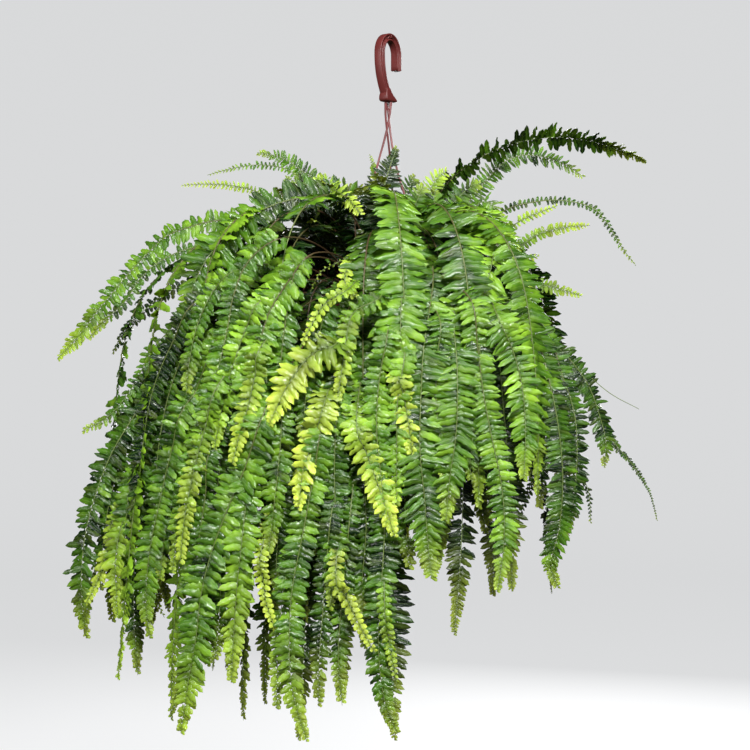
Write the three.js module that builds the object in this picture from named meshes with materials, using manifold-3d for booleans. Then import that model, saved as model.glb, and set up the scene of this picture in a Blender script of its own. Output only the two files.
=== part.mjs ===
// A hanging sword fern: a clump of arching fronds growing in a round moulded pot, which a
// three-strand moulded hanger carries from one hook. Millimetres, +Z up. The origin is the
// underside of the hook's bend, the place where the plant hangs.

import * as THREE from 'three';
import { mergeVertices } from 'three/addons/utils/BufferGeometryUtils.js';
import Module from 'manifold-3d';

const wasm = await Module();
wasm.setup();

// ---- driving dimensions ----

const CLEARANCE = 0.3;          // gap kept between pieces that touch

const HOOK_THROAT = 24;         // widest rail that the hook goes over
const HOOK_STROKE = 8.5;        // thickness of the hook, seen from its side
const HOOK_WIDTH = 10;          // width of the hook's band, across its plane
const HOOK_NOSE_Z = -34;        // end of the hook's short leg
const HOOK_FOOT_Z = -73;        // underside of the hook's foot
const HOOK_TURN = 52;           // degrees from +X to the plane of the hook
const CHANNEL_DEPTH = 2.8;      // recess moulded into each side of the hook
const CHANNEL_STROKE = 4.5;

const RIM_Z = -305;             // top of the pot
const POT_HEIGHT = 135;
const RIM_RADIUS = 100;         // outside of the wall, under the flange
const BASE_RADIUS = 72;
const WALL = 2.4;
const FLANGE = 9;               // how far the rim's flange stands out
const FLANGE_THICKNESS = 3;
const CLIP_HOLE = 5;            // diameter of the flange's holes for the strands
const FOOT_RING_HEIGHT = 4;

const STRAND_DIAMETER = 2.6;
const STRAND_AZIMUTHS = [196, 316, 76];
const BARB_RADIUS = 4;          // knob under the flange that holds the strand

const HEADSPACE = 20;           // soil surface below the rim
const CROWN_RADIUS = 82;        // clump of rhizomes that the fronds grow from
const CROWN_HEIGHT = 22;

const PETIOLE_WIDTH = 4;
const FROND_THICKNESS = 2;
const FROND_STATIONS = 20;
const BLADE_DROOP = 0.25;       // how far a blade's edges fall, as a share of its half width

const POT_SEGMENTS = 48;
const STRAND_SIDES = 8;
const SOIL_Z = RIM_Z - HEADSPACE;
const BASE_Z = RIM_Z - POT_HEIGHT;

const radians = THREE.MathUtils.degToRad;

// ---- materials ----

const hangerPlastic = new THREE.MeshStandardMaterial({ color: 0x8f3f3a, roughness: 0.42, metalness: 0 });
const potPlastic = new THREE.MeshStandardMaterial({ color: 0x87413a, roughness: 0.5, metalness: 0 });
const peat = new THREE.MeshStandardMaterial({ color: 0x2b1d14, roughness: 0.95, metalness: 0 });
const rhizome = new THREE.MeshStandardMaterial({ color: 0x5a3d22, roughness: 0.9, metalness: 0 });
const leafGreen = new THREE.MeshStandardMaterial({ color: 0x4f8f2c, roughness: 0.5, metalness: 0 });

const fern = new THREE.Group();

function place(name, geometry, material, parent = fern) {
  const mesh = new THREE.Mesh(geometry, material.clone());
  mesh.name = name;
  parent.add(mesh);
  return mesh;
}

// ---- joining and cutting closed meshes ----

function toSolid(geometry) {
  const bare = geometry.clone();
  bare.deleteAttribute('normal');
  bare.deleteAttribute('uv');
  const merged = mergeVertices(bare, 1e-4);
  return new wasm.Manifold(new wasm.Mesh({
    numProp: 3,
    vertProperties: new Float32Array(merged.attributes.position.array),
    triVerts: new Uint32Array(merged.index.array),
  }));
}

function toGeometry(solid) {
  const mesh = solid.getMesh();
  const geometry = new THREE.BufferGeometry();
  geometry.setAttribute('position', new THREE.BufferAttribute(new Float32Array(mesh.vertProperties), 3));
  geometry.setIndex(new THREE.BufferAttribute(new Uint32Array(mesh.triVerts), 1));
  geometry.computeVertexNormals();
  return geometry;
}

// A closed skin over rings of equal point counts, capped by a fan at each end. Each ring runs
// clockwise as seen from the end that the rings lead to.
function loft(rings) {
  const count = rings[0].length;
  const points = rings.flat();
  const faces = [];
  for (let i = 0; i < rings.length - 1; i++) {
    for (let j = 0; j < count; j++) {
      const a = i * count + j;
      const b = i * count + (j + 1) % count;
      faces.push(a, b + count, b, a, a + count, b + count);
    }
  }
  const last = (rings.length - 1) * count;
  for (let j = 1; j < count - 1; j++) {
    faces.push(0, j, j + 1);
    faces.push(last, last + j + 1, last + j);
  }
  const geometry = new THREE.BufferGeometry().setFromPoints(points);
  geometry.setIndex(faces);
  geometry.computeVertexNormals();
  return geometry;
}

// ---- hook ----

// The hook's centreline in its own plane: short leg, bend over the rail, long leg that curves
// back under the bend, so that the pot's weight hangs straight below the rail.
function hookCentreline() {
  const reach = (HOOK_THROAT + HOOK_STROKE) / 2;
  const shoulder = -16;
  const points = [new THREE.Vector2(reach, HOOK_NOSE_Z)];
  const bend = new THREE.EllipseCurve(0, shoulder, reach, HOOK_STROKE / 2 - shoulder, 0, Math.PI);
  points.push(...bend.getPoints(18));
  const leg = new THREE.CubicBezierCurve(
    new THREE.Vector2(-reach, shoulder),
    new THREE.Vector2(-reach, -38),
    new THREE.Vector2(-12, -48),
    new THREE.Vector2(-3, HOOK_FOOT_Z + 6),
  );
  points.push(...leg.getPoints(12).slice(1));
  return points;
}

// The outline of a stroke of one width along a centreline.
function stroke(centreline, width) {
  const left = [];
  const right = [];
  centreline.forEach((point, i) => {
    const before = centreline[Math.max(i - 1, 0)];
    const after = centreline[Math.min(i + 1, centreline.length - 1)];
    const along = after.clone().sub(before).normalize();
    const across = new THREE.Vector2(-along.y, along.x).multiplyScalar(width / 2);
    left.push(point.clone().add(across));
    right.push(point.clone().sub(across));
  });
  return new THREE.Shape([...left, ...right.reverse()]);
}

// A flat outline extruded to a thickness centred on a plane, stood up so that its y is up.
function standing(shape, thickness, offset = 0) {
  const geometry = new THREE.ExtrudeGeometry(shape, { depth: thickness, bevelEnabled: false });
  geometry.translate(0, 0, offset - thickness / 2);
  geometry.rotateX(Math.PI / 2);
  return geometry;
}

function buildHook() {
  const centreline = hookCentreline();
  let solid = toSolid(standing(stroke(centreline, HOOK_STROKE), HOOK_WIDTH));
  const channel = stroke(centreline.slice(2, -3), CHANNEL_STROKE);
  for (const side of [-1, 1]) {
    const offset = side * HOOK_WIDTH / 2;
    solid = solid.subtract(toSolid(standing(channel, 2 * CHANNEL_DEPTH, offset)));
  }
  const foot = new THREE.Shape([
    new THREE.Vector2(-9, HOOK_FOOT_Z + 12),
    new THREE.Vector2(-10, HOOK_FOOT_Z + 1.5),
    new THREE.Vector2(-8.5, HOOK_FOOT_Z),
    new THREE.Vector2(9, HOOK_FOOT_Z),
    new THREE.Vector2(11, HOOK_FOOT_Z + 1.5),
    new THREE.Vector2(10.5, HOOK_FOOT_Z + 4),
    new THREE.Vector2(2, HOOK_FOOT_Z + 16),
  ]);
  return toGeometry(solid.add(toSolid(standing(foot, HOOK_WIDTH + 2))));
}

// ---- strands ----

// Height and distance from the middle line of the points that a strand goes through, with the
// angle by which the three strands twist round each other under the foot.
const STRAND_ROUTE = [
  { z: HOOK_FOOT_Z - CLEARANCE, radius: 3.6, twist: 150 },
  { z: -86, radius: 3.2, twist: 125 },
  { z: -100, radius: 2.2, twist: 75 },
  { z: -113, radius: 3.6, twist: 20 },
  { z: -135, radius: 9, twist: 0 },
  { z: -170, radius: 20, twist: 0 },
  { z: -215, radius: 42, twist: 0 },
  { z: -265, radius: 77, twist: 0 },
  { z: -292, radius: 100, twist: 0 },
  { z: RIM_Z, radius: RIM_RADIUS + FLANGE / 2, twist: 0 },
  { z: RIM_Z - FLANGE_THICKNESS - 2, radius: RIM_RADIUS + FLANGE / 2, twist: 0 },
];

function buildStrand(azimuth) {
  const points = STRAND_ROUTE.map(({ z, radius, twist }) => {
    const angle = radians(azimuth + twist);
    return new THREE.Vector3(radius * Math.cos(angle), radius * Math.sin(angle), z);
  });
  const route = new THREE.CatmullRomCurve3(points, false, 'centripetal');
  const section = new THREE.Shape();
  section.absarc(0, 0, STRAND_DIAMETER / 2, 0, 2 * Math.PI);
  const cord = new THREE.ExtrudeGeometry(section, {
    steps: 44, curveSegments: STRAND_SIDES / 2, bevelEnabled: false, extrudePath: route,
  });
  const end = points[points.length - 1];
  const barb = new THREE.LatheGeometry([
    new THREE.Vector2(0, -8),
    new THREE.Vector2(1.6, -8),
    new THREE.Vector2(BARB_RADIUS, -1.5),
    new THREE.Vector2(BARB_RADIUS, 0),
    new THREE.Vector2(0, 0),
  ], 12);
  barb.rotateX(Math.PI / 2);
  barb.translate(end.x, end.y, RIM_Z - FLANGE_THICKNESS - CLEARANCE);
  return toGeometry(toSolid(cord).add(toSolid(barb)));
}

// ---- pot, soil and crown ----

function lathe(profile) {
  const geometry = new THREE.LatheGeometry(profile.map(([r, z]) => new THREE.Vector2(r, z)), POT_SEGMENTS);
  geometry.rotateX(Math.PI / 2);
  return geometry;
}

// Outside radius of the pot's wall at a height.
function potRadius(z) {
  return THREE.MathUtils.mapLinear(z, BASE_Z, RIM_Z, BASE_RADIUS, RIM_RADIUS);
}

function buildPot() {
  const floorZ = BASE_Z + FOOT_RING_HEIGHT;
  const wall = lathe([
    [0, floorZ + WALL],
    [0, floorZ],
    [BASE_RADIUS - 8, floorZ],
    [BASE_RADIUS - 6, BASE_Z],
    [BASE_RADIUS, BASE_Z],
    [potRadius(RIM_Z - 14), RIM_Z - 14],
    [RIM_RADIUS, RIM_Z - FLANGE_THICKNESS],
    [RIM_RADIUS + FLANGE, RIM_Z - FLANGE_THICKNESS],
    [RIM_RADIUS + FLANGE, RIM_Z],
    [RIM_RADIUS - WALL, RIM_Z],
    [potRadius(floorZ + WALL) - WALL, floorZ + WALL],
    [0, floorZ + WALL],
  ]);
  let solid = toSolid(wall);
  for (const azimuth of STRAND_AZIMUTHS) {
    const hole = new THREE.CylinderGeometry(CLIP_HOLE / 2, CLIP_HOLE / 2, 4 * FLANGE_THICKNESS, 16);
    hole.rotateX(Math.PI / 2);
    const radius = RIM_RADIUS + FLANGE / 2;
    const angle = radians(azimuth);
    hole.translate(radius * Math.cos(angle), radius * Math.sin(angle), RIM_Z);
    solid = solid.subtract(toSolid(hole));
  }
  return toGeometry(solid);
}

function buildSoil() {
  const bottom = BASE_Z + FOOT_RING_HEIGHT + WALL + CLEARANCE;
  const inset = WALL + CLEARANCE + 0.3;
  return lathe([
    [0, bottom],
    [potRadius(bottom) - inset, bottom],
    [potRadius(SOIL_Z) - inset, SOIL_Z],
    [0, SOIL_Z],
  ]);
}

// Height of the crown's top at a distance from its middle: a low dome.
function crownZ(radius) {
  const share = Math.min(radius / CROWN_RADIUS, 1);
  return SOIL_Z + CLEARANCE + CROWN_HEIGHT * Math.sqrt(1 - 0.85 * share ** 2);
}

function buildCrown() {
  const profile = [[0, SOIL_Z + CLEARANCE], [CROWN_RADIUS - 4, SOIL_Z + CLEARANCE]];
  for (let i = 0; i <= 6; i++) {
    const radius = CROWN_RADIUS * (1 - i / 6);
    profile.push([radius, crownZ(radius)]);
  }
  return lathe(profile);
}

// ---- fronds ----

// Each row is one frond, in degrees and millimetres:
// azimuth, distance of its foot from the middle, heading above level where it leaves the crown,
// heading below level where it hangs, length over which it bends, whole length, how far its tip
// sways sideways, how far its blade rolls about its midrib, and the blade's width.
const FRONDS = {
  // young fronds that still stand up in the middle of the clump
  upright: [
    [135, 22, 86, -70, 180, 180, -26, 60, 18],
    [40, 30, 80, -40, 200, 190, 0, -30, 26],
    [262, 16, 80, -30, 150, 150, -10, 15, 26],
  ],
  // fronds that arch out over the rest and don't hang
  arching: [
    [2, 16, 76, 24, 420, 405, 0, 25, 46],
    [16, 28, 68, 2, 300, 290, 0, 15, 34],
    [350, 26, 56, 52, 350, 345, 0, 0, 34],
    [32, 40, 48, -10, 240, 240, 0, 10, 32],
    [324, 46, 34, -8, 230, 235, 0, 10, 30],
    [16, 52, 37, 20, 190, 200, 0, 0, 22],
    [164, 18, 60, 0, 290, 300, 0, 0, 30],
    [151, 36, 62, -10, 270, 270, 0, 0, 30],
    [138, 26, 76, -24, 250, 250, 0, 0, 30],
    [176, 16, 56, 46, 400, 500, 0, 0, 46],
    [167, 34, 50, 60, 350, 440, 0, 0, 40],
    [190, 26, 50, 62, 370, 480, 0, 0, 40],
  ],
  // long outer fronds
  outer: [
    [184, 44, 38, 82, 400, 680, 0, 0, 54],
    [203, 34, 48, 84, 385, 740, 0, 0, 54],
    [216, 24, 60, 86, 380, 800, 0, 0, 54],
    [229, 26, 62, 86, 340, 720, 0, 0, 54],
    [242, 24, 64, 86, 370, 480, 0, 0, 54],
    [255, 28, 62, 86, 350, 560, 0, 0, 54],
    [273, 24, 66, 88, 370, 500, 0, 0, 56],
    [291, 28, 62, 88, 350, 540, 0, 0, 54],
    [309, 24, 60, 86, 340, 520, 0, 0, 52],
    [334, 24, 58, 84, 340, 540, 0, 0, 48],
    [6, 44, 48, 60, 210, 490, 0, 0, 36],
    [48, 24, 64, 84, 380, 560, 0, 0, 52],
    [69, 24, 64, 84, 400, 600, 0, 0, 52],
    [91, 24, 64, 84, 400, 600, 0, 0, 52],
    [112, 24, 64, 84, 400, 600, 0, 0, 52],
  ],
  // middle of the skirt
  middle: [
    [355, 46, 54, 82, 260, 460, 0, 0, 50],
    [26, 46, 54, 84, 280, 520, 0, 0, 52],
    [56, 46, 54, 86, 290, 540, 0, 0, 52],
    [84, 46, 54, 86, 290, 580, 0, 0, 52],
    [112, 46, 54, 86, 290, 600, 0, 0, 52],
    [140, 46, 54, 86, 290, 600, 0, 0, 52],
    [166, 46, 50, 84, 320, 640, 0, 0, 54],
    [209, 46, 50, 84, 290, 620, 0, 0, 54],
    [234, 46, 54, 86, 280, 560, 0, 0, 54],
    [263, 46, 54, 88, 280, 610, 0, 0, 54],
    [284, 46, 54, 88, 240, 500, 0, 0, 54],
    [304, 46, 54, 86, 260, 540, 0, 0, 54],
    [340, 46, 54, 84, 280, 480, 0, 0, 52],
  ],
  // short fronds that hang close to the pot
  inner: [
    [352, 74, 36, 86, 150, 450, 0, 0, 48],
    [32, 74, 36, 88, 150, 380, 0, 0, 48],
    [66, 74, 36, 88, 150, 420, 0, 0, 48],
    [104, 74, 36, 88, 150, 440, 0, 0, 48],
    [146, 74, 36, 88, 150, 460, 0, 0, 48],
    [189, 74, 36, 88, 150, 540, 0, 0, 48],
    [221, 74, 36, 88, 150, 560, 0, 0, 48],
    [238, 74, 36, 88, 150, 590, 0, 0, 48],
    [254, 74, 36, 88, 150, 540, 0, 0, 48],
    [272, 74, 36, 88, 150, 585, 0, 0, 48],
  ],
};

// The midrib's points. The heading falls from launch to -hang along a smooth step over the
// bend, and the frond hangs straight after it.
function midrib([azimuth, foot, launch, hang, bend, length, sway]) {
  const outward = new THREE.Vector3(Math.cos(radians(azimuth)), Math.sin(radians(azimuth)), 0);
  const sideways = new THREE.Vector3(-outward.y, outward.x, 0);
  const up = new THREE.Vector3(0, 0, 1);
  const lift = CLEARANCE + FROND_THICKNESS / 2 * Math.cos(radians(launch)) + 0.4;
  const start = outward.clone().multiplyScalar(foot).setZ(crownZ(foot) + lift);
  const points = [];
  const parts = 6;
  const step = length / (FROND_STATIONS * parts);
  let out = 0;
  let rise = 0;
  for (let i = 0; i <= FROND_STATIONS * parts; i++) {
    if (i % parts === 0) {
      const share = i / (FROND_STATIONS * parts);
      points.push(start.clone()
        .addScaledVector(outward, out)
        .addScaledVector(up, rise)
        .addScaledVector(sideways, sway * share ** 2));
    }
    const turned = THREE.MathUtils.smoothstep((i + 0.5) * step, 0, bend);
    const heading = radians(launch - (launch + hang) * turned);
    out += step * Math.cos(heading);
    rise += step * Math.sin(heading);
  }
  return { points, sideways };
}

// Half the blade's width at a share of its length: a bare stalk, a quick widening and a long
// taper to the tip.
function halfWidth(share, width) {
  const widening = THREE.MathUtils.smoothstep(share, 0.08, 0.3);
  const taper = Math.sqrt(Math.max(1 - share ** 3, 0));
  return PETIOLE_WIDTH / 2 * (1 - 0.6 * share) + (width - PETIOLE_WIDTH) / 2 * widening * taper;
}

function buildFrond(row) {
  const roll = row[7];
  const width = row[8];
  const { points, sideways } = midrib(row);
  const rings = points.map((point, i) => {
    const share = i / FROND_STATIONS;
    const before = points[Math.max(i - 1, 0)];
    const after = points[Math.min(i + 1, points.length - 1)];
    const along = after.clone().sub(before).normalize();
    const side = sideways.clone().addScaledVector(along, -sideways.dot(along)).normalize();
    side.applyAxisAngle(along, radians(roll) * THREE.MathUtils.smoothstep(share, 0, 0.5));
    const face = new THREE.Vector3().crossVectors(along, side).negate();
    const half = halfWidth(share, width);
    const thin = FROND_THICKNESS / 2 * (1 - 0.6 * share);
    const drop = BLADE_DROOP * Math.max(half - PETIOLE_WIDTH / 2, 0);
    return [
      point.clone().addScaledVector(side, half).addScaledVector(face, -drop),
      point.clone().addScaledVector(face, thin),
      point.clone().addScaledVector(side, -half).addScaledVector(face, -drop),
      point.clone().addScaledVector(face, -thin),
    ];
  });
  return loft(rings);
}

// ---- the assembly ----

const hanger = new THREE.Group();
hanger.rotation.z = radians(HOOK_TURN);
fern.add(hanger);
place('hook', buildHook(), hangerPlastic, hanger);
STRAND_AZIMUTHS.forEach((azimuth, i) => place(`strand_${i + 1}`, buildStrand(azimuth), hangerPlastic));
place('pot', buildPot(), potPlastic);
place('soil', buildSoil(), peat);
place('crown', buildCrown(), rhizome);
for (const [tier, rows] of Object.entries(FRONDS)) {
  rows.forEach((row, i) => place(`frond_${tier}_${i + 1}`, buildFrond(row), leafGreen));
}

export default fern;
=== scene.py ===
import math

import bpy
import numpy as np
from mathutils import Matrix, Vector


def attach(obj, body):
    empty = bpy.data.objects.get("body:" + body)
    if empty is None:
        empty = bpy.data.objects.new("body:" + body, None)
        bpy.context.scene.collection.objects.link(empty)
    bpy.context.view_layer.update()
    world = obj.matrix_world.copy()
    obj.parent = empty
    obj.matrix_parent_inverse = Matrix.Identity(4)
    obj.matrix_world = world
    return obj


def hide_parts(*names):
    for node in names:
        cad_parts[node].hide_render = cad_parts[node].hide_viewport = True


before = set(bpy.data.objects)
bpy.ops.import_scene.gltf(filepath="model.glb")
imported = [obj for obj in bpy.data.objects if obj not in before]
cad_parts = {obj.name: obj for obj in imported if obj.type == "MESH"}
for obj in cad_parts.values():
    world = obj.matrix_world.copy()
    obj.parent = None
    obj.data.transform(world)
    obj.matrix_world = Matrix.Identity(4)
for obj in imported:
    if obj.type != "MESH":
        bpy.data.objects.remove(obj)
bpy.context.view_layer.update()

# ---- camera ----
# The plant is seen from straight in front, level with the middle of its hanging fronds.

CAMERA_DISTANCE = 1.9
VIEW_WIDTH = 0.9
VIEW_CENTRE = (-0.0156, -0.4008)

camera_data = bpy.data.cameras.new("camera")
camera_data.lens = camera_data.sensor_width * CAMERA_DISTANCE / VIEW_WIDTH
camera = bpy.data.objects.new("camera", camera_data)
camera.location = (VIEW_CENTRE[0], -CAMERA_DISTANCE, VIEW_CENTRE[1])
camera.rotation_euler = (math.pi / 2, 0, 0)
bpy.context.scene.collection.objects.link(camera)
bpy.context.scene.camera = camera
bpy.context.scene.view_settings.view_transform = "Standard"

# ---- hook ----
# One moulded piece: a bent bar of channelled section that goes over a rail, and a flared foot
# under it that the three strands are moulded into. Its plane is turned away from the front.

HOOK_TURN = math.radians(52)
HOOK_REACH = 0.01625
HOOK_THICKNESS = 0.0085
HOOK_WIDTH = 0.010
HOOK_SHOULDER_Z = -0.016
HOOK_NOSE_Z = -0.034
HOOK_FOOT_Z = -0.073
CHANNEL_DEPTH = 0.0024
CHANNEL_HALF = 0.0023
CHANNEL_DRAFT = 0.8
HOOK_CORNER = 0.0007
NOSE_CHAMFER = 0.0007
NOSE_SHRINK = 0.86


def grid_faces(rows, columns, closed):
    """Quads of a grid of rows by columns, whose columns join up into rings if closed."""
    last = columns if closed else columns - 1
    i, j = np.meshgrid(np.arange(rows - 1), np.arange(last), indexing="ij")
    a = (i * columns + j).ravel()
    b = (i * columns + (j + 1) % columns).ravel()
    return np.stack([a, b, b + columns, a + columns], 1)


def new_piece(name, points, quads, materials, which=None, caps=()):
    """A mesh object from points and quads, with whole rings as caps. which gives each quad's
    material by number."""
    quads = np.asarray(quads, np.int32)
    sizes = np.concatenate([np.full(len(quads), 4), [len(c) for c in caps]]).astype(np.int32)
    corners = np.concatenate([quads.ravel(), *[np.asarray(c) for c in caps]]).astype(np.int32)
    mesh = bpy.data.meshes.new(name)
    mesh.vertices.add(len(points))
    mesh.vertices.foreach_set("co", np.asarray(points, np.float32).ravel())
    mesh.loops.add(len(corners))
    mesh.loops.foreach_set("vertex_index", corners)
    mesh.polygons.add(len(sizes))
    starts = np.concatenate([[0], np.cumsum(sizes)[:-1]]).astype(np.int32)
    mesh.polygons.foreach_set("loop_start", starts)
    mesh.polygons.foreach_set("use_smooth", np.ones(len(sizes), bool))
    for material in materials:
        mesh.materials.append(material)
    if which is not None:
        mesh.polygons.foreach_set("material_index", np.asarray(which, np.int32))
    mesh.update(calc_edges=True)
    mesh.validate()
    piece = bpy.data.objects.new(name, mesh)
    bpy.context.scene.collection.objects.link(piece)
    return piece


def rounded_section(corners, radius, steps=3):
    """A closed outline with each corner replaced by a short quadratic curve that starts and
    ends at the radius from the corner."""
    corners = np.asarray(corners, float)
    back = np.roll(corners, 1, 0) - corners
    ahead = np.roll(corners, -1, 0) - corners
    start = corners + back / np.linalg.norm(back, axis=1)[:, None] * radius
    end = corners + ahead / np.linalg.norm(ahead, axis=1)[:, None] * radius
    t = np.linspace(0, 1, steps)[None, :, None]
    curve = (1 - t) ** 2 * start[:, None] + 2 * t * (1 - t) * corners[:, None] + t**2 * end[:, None]
    return curve.reshape(-1, 2)


def hook_centreline():
    """Short leg, half an ellipse over the rail, and a long leg that swings back under it along
    a Bezier curve. Gives in-plane positions and unit normals."""
    short = np.stack([np.full(8, HOOK_REACH), np.linspace(HOOK_NOSE_Z, HOOK_SHOULDER_Z, 8)], 1)
    turn = np.linspace(0, math.pi, 40)[1:]
    top = HOOK_THICKNESS / 2 - HOOK_SHOULDER_Z
    bend = np.stack([HOOK_REACH * np.cos(turn), HOOK_SHOULDER_Z + top * np.sin(turn)], 1)
    t = np.linspace(0, 1, 30)[1:, None]
    ends = np.array([
        [-HOOK_REACH, HOOK_SHOULDER_Z], [-HOOK_REACH, -0.038], [-0.012, -0.048], [-0.003, -0.067],
    ])
    leg = (1 - t) ** 3 * ends[0] + 3 * t * (1 - t) ** 2 * ends[1]
    leg += 3 * t**2 * (1 - t) * ends[2] + t**3 * ends[3]
    line = np.concatenate([short, bend, leg])
    along = np.gradient(line, axis=0)
    along /= np.linalg.norm(along, axis=1)[:, None]
    return line, np.stack([-along[:, 1], along[:, 0]], 1)


def stand_in_hook_plane(u, v, z):
    """Turns in-plane, across-plane and height values into places in the row's frame."""
    x = u * math.cos(HOOK_TURN) - v * math.sin(HOOK_TURN)
    y = u * math.sin(HOOK_TURN) + v * math.cos(HOOK_TURN)
    return np.stack([x, y, z], -1)


def feed(tree, node, inputs):
    """Sets each of a node's inputs, by name or number, to a value or links it to an output."""
    for socket, value in inputs.items():
        if isinstance(value, bpy.types.NodeSocket):
            tree.links.new(value, node.inputs[socket])
        else:
            node.inputs[socket].default_value = value


def add_node(tree, kind, inputs, output, **settings):
    """The output of a new shader node, by name or number, after its settings and inputs."""
    node = tree.nodes.new("ShaderNode" + kind)
    for name, value in settings.items():
        setattr(node, name, value)
    feed(tree, node, inputs)
    return node.outputs[output]


def add_ramp(tree, share, stops):
    """The colour at a share of the way through stops, each of a position and a colour."""
    node = tree.nodes.new("ShaderNodeValToRGB")
    tree.links.new(share, node.inputs["Fac"])
    ramp = node.color_ramp
    ramp.elements[0].position = stops[0][0]
    ramp.elements[1].position = stops[-1][0]
    for position, _ in stops[1:-1]:
        ramp.elements.new(position)
    for element, (_, colour) in zip(ramp.elements, stops):
        element.color = (*colour, 1)
    return node.outputs["Color"]


def add_noise(tree, scale, detail, **more):
    """Noise in the object's own coordinates."""
    place = add_node(tree, "TexCoord", {}, "Object")
    inputs = {"Vector": place, "Scale": scale, "Detail": detail, **more}
    return add_node(tree, "TexNoise", inputs, "Fac")


def add_bump(tree, height, strength, distance):
    """The normal of a surface raised by height, to at most a distance."""
    inputs = {"Strength": strength, "Distance": distance, "Height": height}
    return add_node(tree, "Bump", inputs, "Normal")


def new_material(name):
    """A material, its node tree and its main shader."""
    material = bpy.data.materials.new(name)
    material.use_nodes = True
    return material, material.node_tree, material.node_tree.nodes["Principled BSDF"]


def moulded_plastic(name, colour, roughness, grain):
    """Injection-moulded plastic: a faint cloudiness of the pigment, and a fine grain whose size
    is set by its scale, in both the gloss and the surface."""
    material, tree, shader = new_material(name)
    dark, light = [c * 0.78 for c in colour], [min(c * 1.2, 1) for c in colour]
    speck = add_noise(tree, grain, 4)
    span = {"Value": speck, "To Min": roughness - 0.08, "To Max": roughness + 0.12}
    feed(tree, shader, {
        "Base Color": add_ramp(tree, add_noise(tree, 55, 3), [(0.3, dark), (0.75, light)]),
        "Roughness": add_node(tree, "MapRange", span, "Result"),
        "Normal": add_bump(tree, speck, 0.25, 0.0004),
    })
    return material


HANGER_COLOUR = (0.115, 0.017, 0.015)
hanger_plastic = moulded_plastic("hanger_plastic", HANGER_COLOUR, 0.42, 900)

line, outward = hook_centreline()
half_wide, half_thick = HOOK_WIDTH / 2, HOOK_THICKNESS / 2
channel_floor = half_wide - CHANNEL_DEPTH
section = rounded_section([
    (-half_wide, -half_thick), (half_wide, -half_thick),
    (half_wide, -CHANNEL_HALF), (channel_floor, -CHANNEL_HALF * CHANNEL_DRAFT),
    (channel_floor, CHANNEL_HALF * CHANNEL_DRAFT), (half_wide, CHANNEL_HALF),
    (half_wide, half_thick), (-half_wide, half_thick),
    (-half_wide, CHANNEL_HALF), (-channel_floor, CHANNEL_HALF * CHANNEL_DRAFT),
    (-channel_floor, -CHANNEL_HALF * CHANNEL_DRAFT), (-half_wide, -CHANNEL_HALF),
], HOOK_CORNER)
shrink = np.ones(len(line))
shrink[0] = NOSE_SHRINK
line[1] = line[0] + (0, NOSE_CHAMFER)
u = line[:, 0, None] + outward[:, 0, None] * section[None, :, 1] * shrink[:, None]
z = line[:, 1, None] + outward[:, 1, None] * section[None, :, 1] * shrink[:, None]
v = section[None, :, 0] * shrink[:, None]
bar = stand_in_hook_plane(u, np.broadcast_to(v, u.shape), z).reshape(-1, 3)
bar_faces = grid_faces(len(line), len(section), True)

# The foot: level rounded rectangles, wider towards its two toes, under the end of the long leg.
FOOT_LEVELS = [
    (-0.0575, -0.0085, -0.0006, 0.0048), (-0.0605, -0.0088, 0.0006, 0.0053),
    (-0.0632, -0.0094, 0.0022, 0.0058), (-0.0660, -0.0101, 0.0046, 0.0062),
    (-0.0690, -0.0103, 0.0084, 0.0064), (-0.0708, -0.0101, 0.0106, 0.0064),
    (-0.0724, -0.0092, 0.0110, 0.0061), (HOOK_FOOT_Z, -0.0080, 0.0098, 0.0052),
]
foot_rings = []
for level, left, right, half in FOOT_LEVELS:
    ring = rounded_section([(left, -half), (right, -half), (right, half), (left, half)], 0.0018, 4)
    foot_rings.append(stand_in_hook_plane(ring[:, 0], ring[:, 1], np.full(len(ring), level)))
ring_size = len(foot_rings[0])
foot = np.concatenate(foot_rings)
foot_faces = grid_faces(len(FOOT_LEVELS), ring_size, True)[:, ::-1] + len(bar)
foot_start = len(bar)
foot_end = foot_start + (len(FOOT_LEVELS) - 1) * ring_size

# Ribs stand in both channels at the top of the bend, two that lean together and one across.
RIBS = [
    ((-0.0062, 0.0010), (0.0, 0.0066)), ((0.0062, 0.0010), (0.0, 0.0066)),
    ((-0.0042, 0.0036), (0.0042, 0.0036)),
]
RIB_HALF = 0.00045
BOX_FACES = np.array([
    [0, 1, 3, 2], [4, 6, 7, 5], [0, 4, 5, 1], [2, 3, 7, 6], [0, 2, 6, 4], [1, 5, 7, 3],
])
rib_points, rib_faces = [], []
for cheek in (-1, 1):
    for start, end in RIBS:
        start, end = np.array(start), np.array(end)
        beside = np.array([start[1] - end[1], end[0] - start[0]])
        beside = beside / np.linalg.norm(beside) * RIB_HALF
        corners = np.array([start - beside, start + beside, end - beside, end + beside])
        depths = np.array([channel_floor - 0.0004, half_wide - 0.0003]) * cheek
        u4, z4 = np.tile(corners[:, 0], 2), np.tile(corners[:, 1], 2)
        rib_points.append(stand_in_hook_plane(u4, np.repeat(depths, 4), z4))
        order = BOX_FACES if cheek < 0 else BOX_FACES[:, ::-1]
        rib_faces.append(order + len(bar) + len(foot) + 8 * len(rib_faces))
hook = new_piece(
    "hook_moulding", np.concatenate([bar, foot, *rib_points]),
    np.concatenate([bar_faces, foot_faces, *rib_faces]), [hanger_plastic],
    caps=[
        np.arange(len(section))[::-1], np.arange(len(section)) + len(bar) - len(section),
        np.arange(ring_size) + foot_start, np.arange(ring_size)[::-1] + foot_end,
    ],
)
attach(hook, "root")
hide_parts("hook")

# ---- strands ----
# Three thin stiff rods, moulded onto the hook in the same plastic. They twist round each other
# under its foot, spread down through the fronds, pass through the pot's flange and end in barbs.

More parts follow.
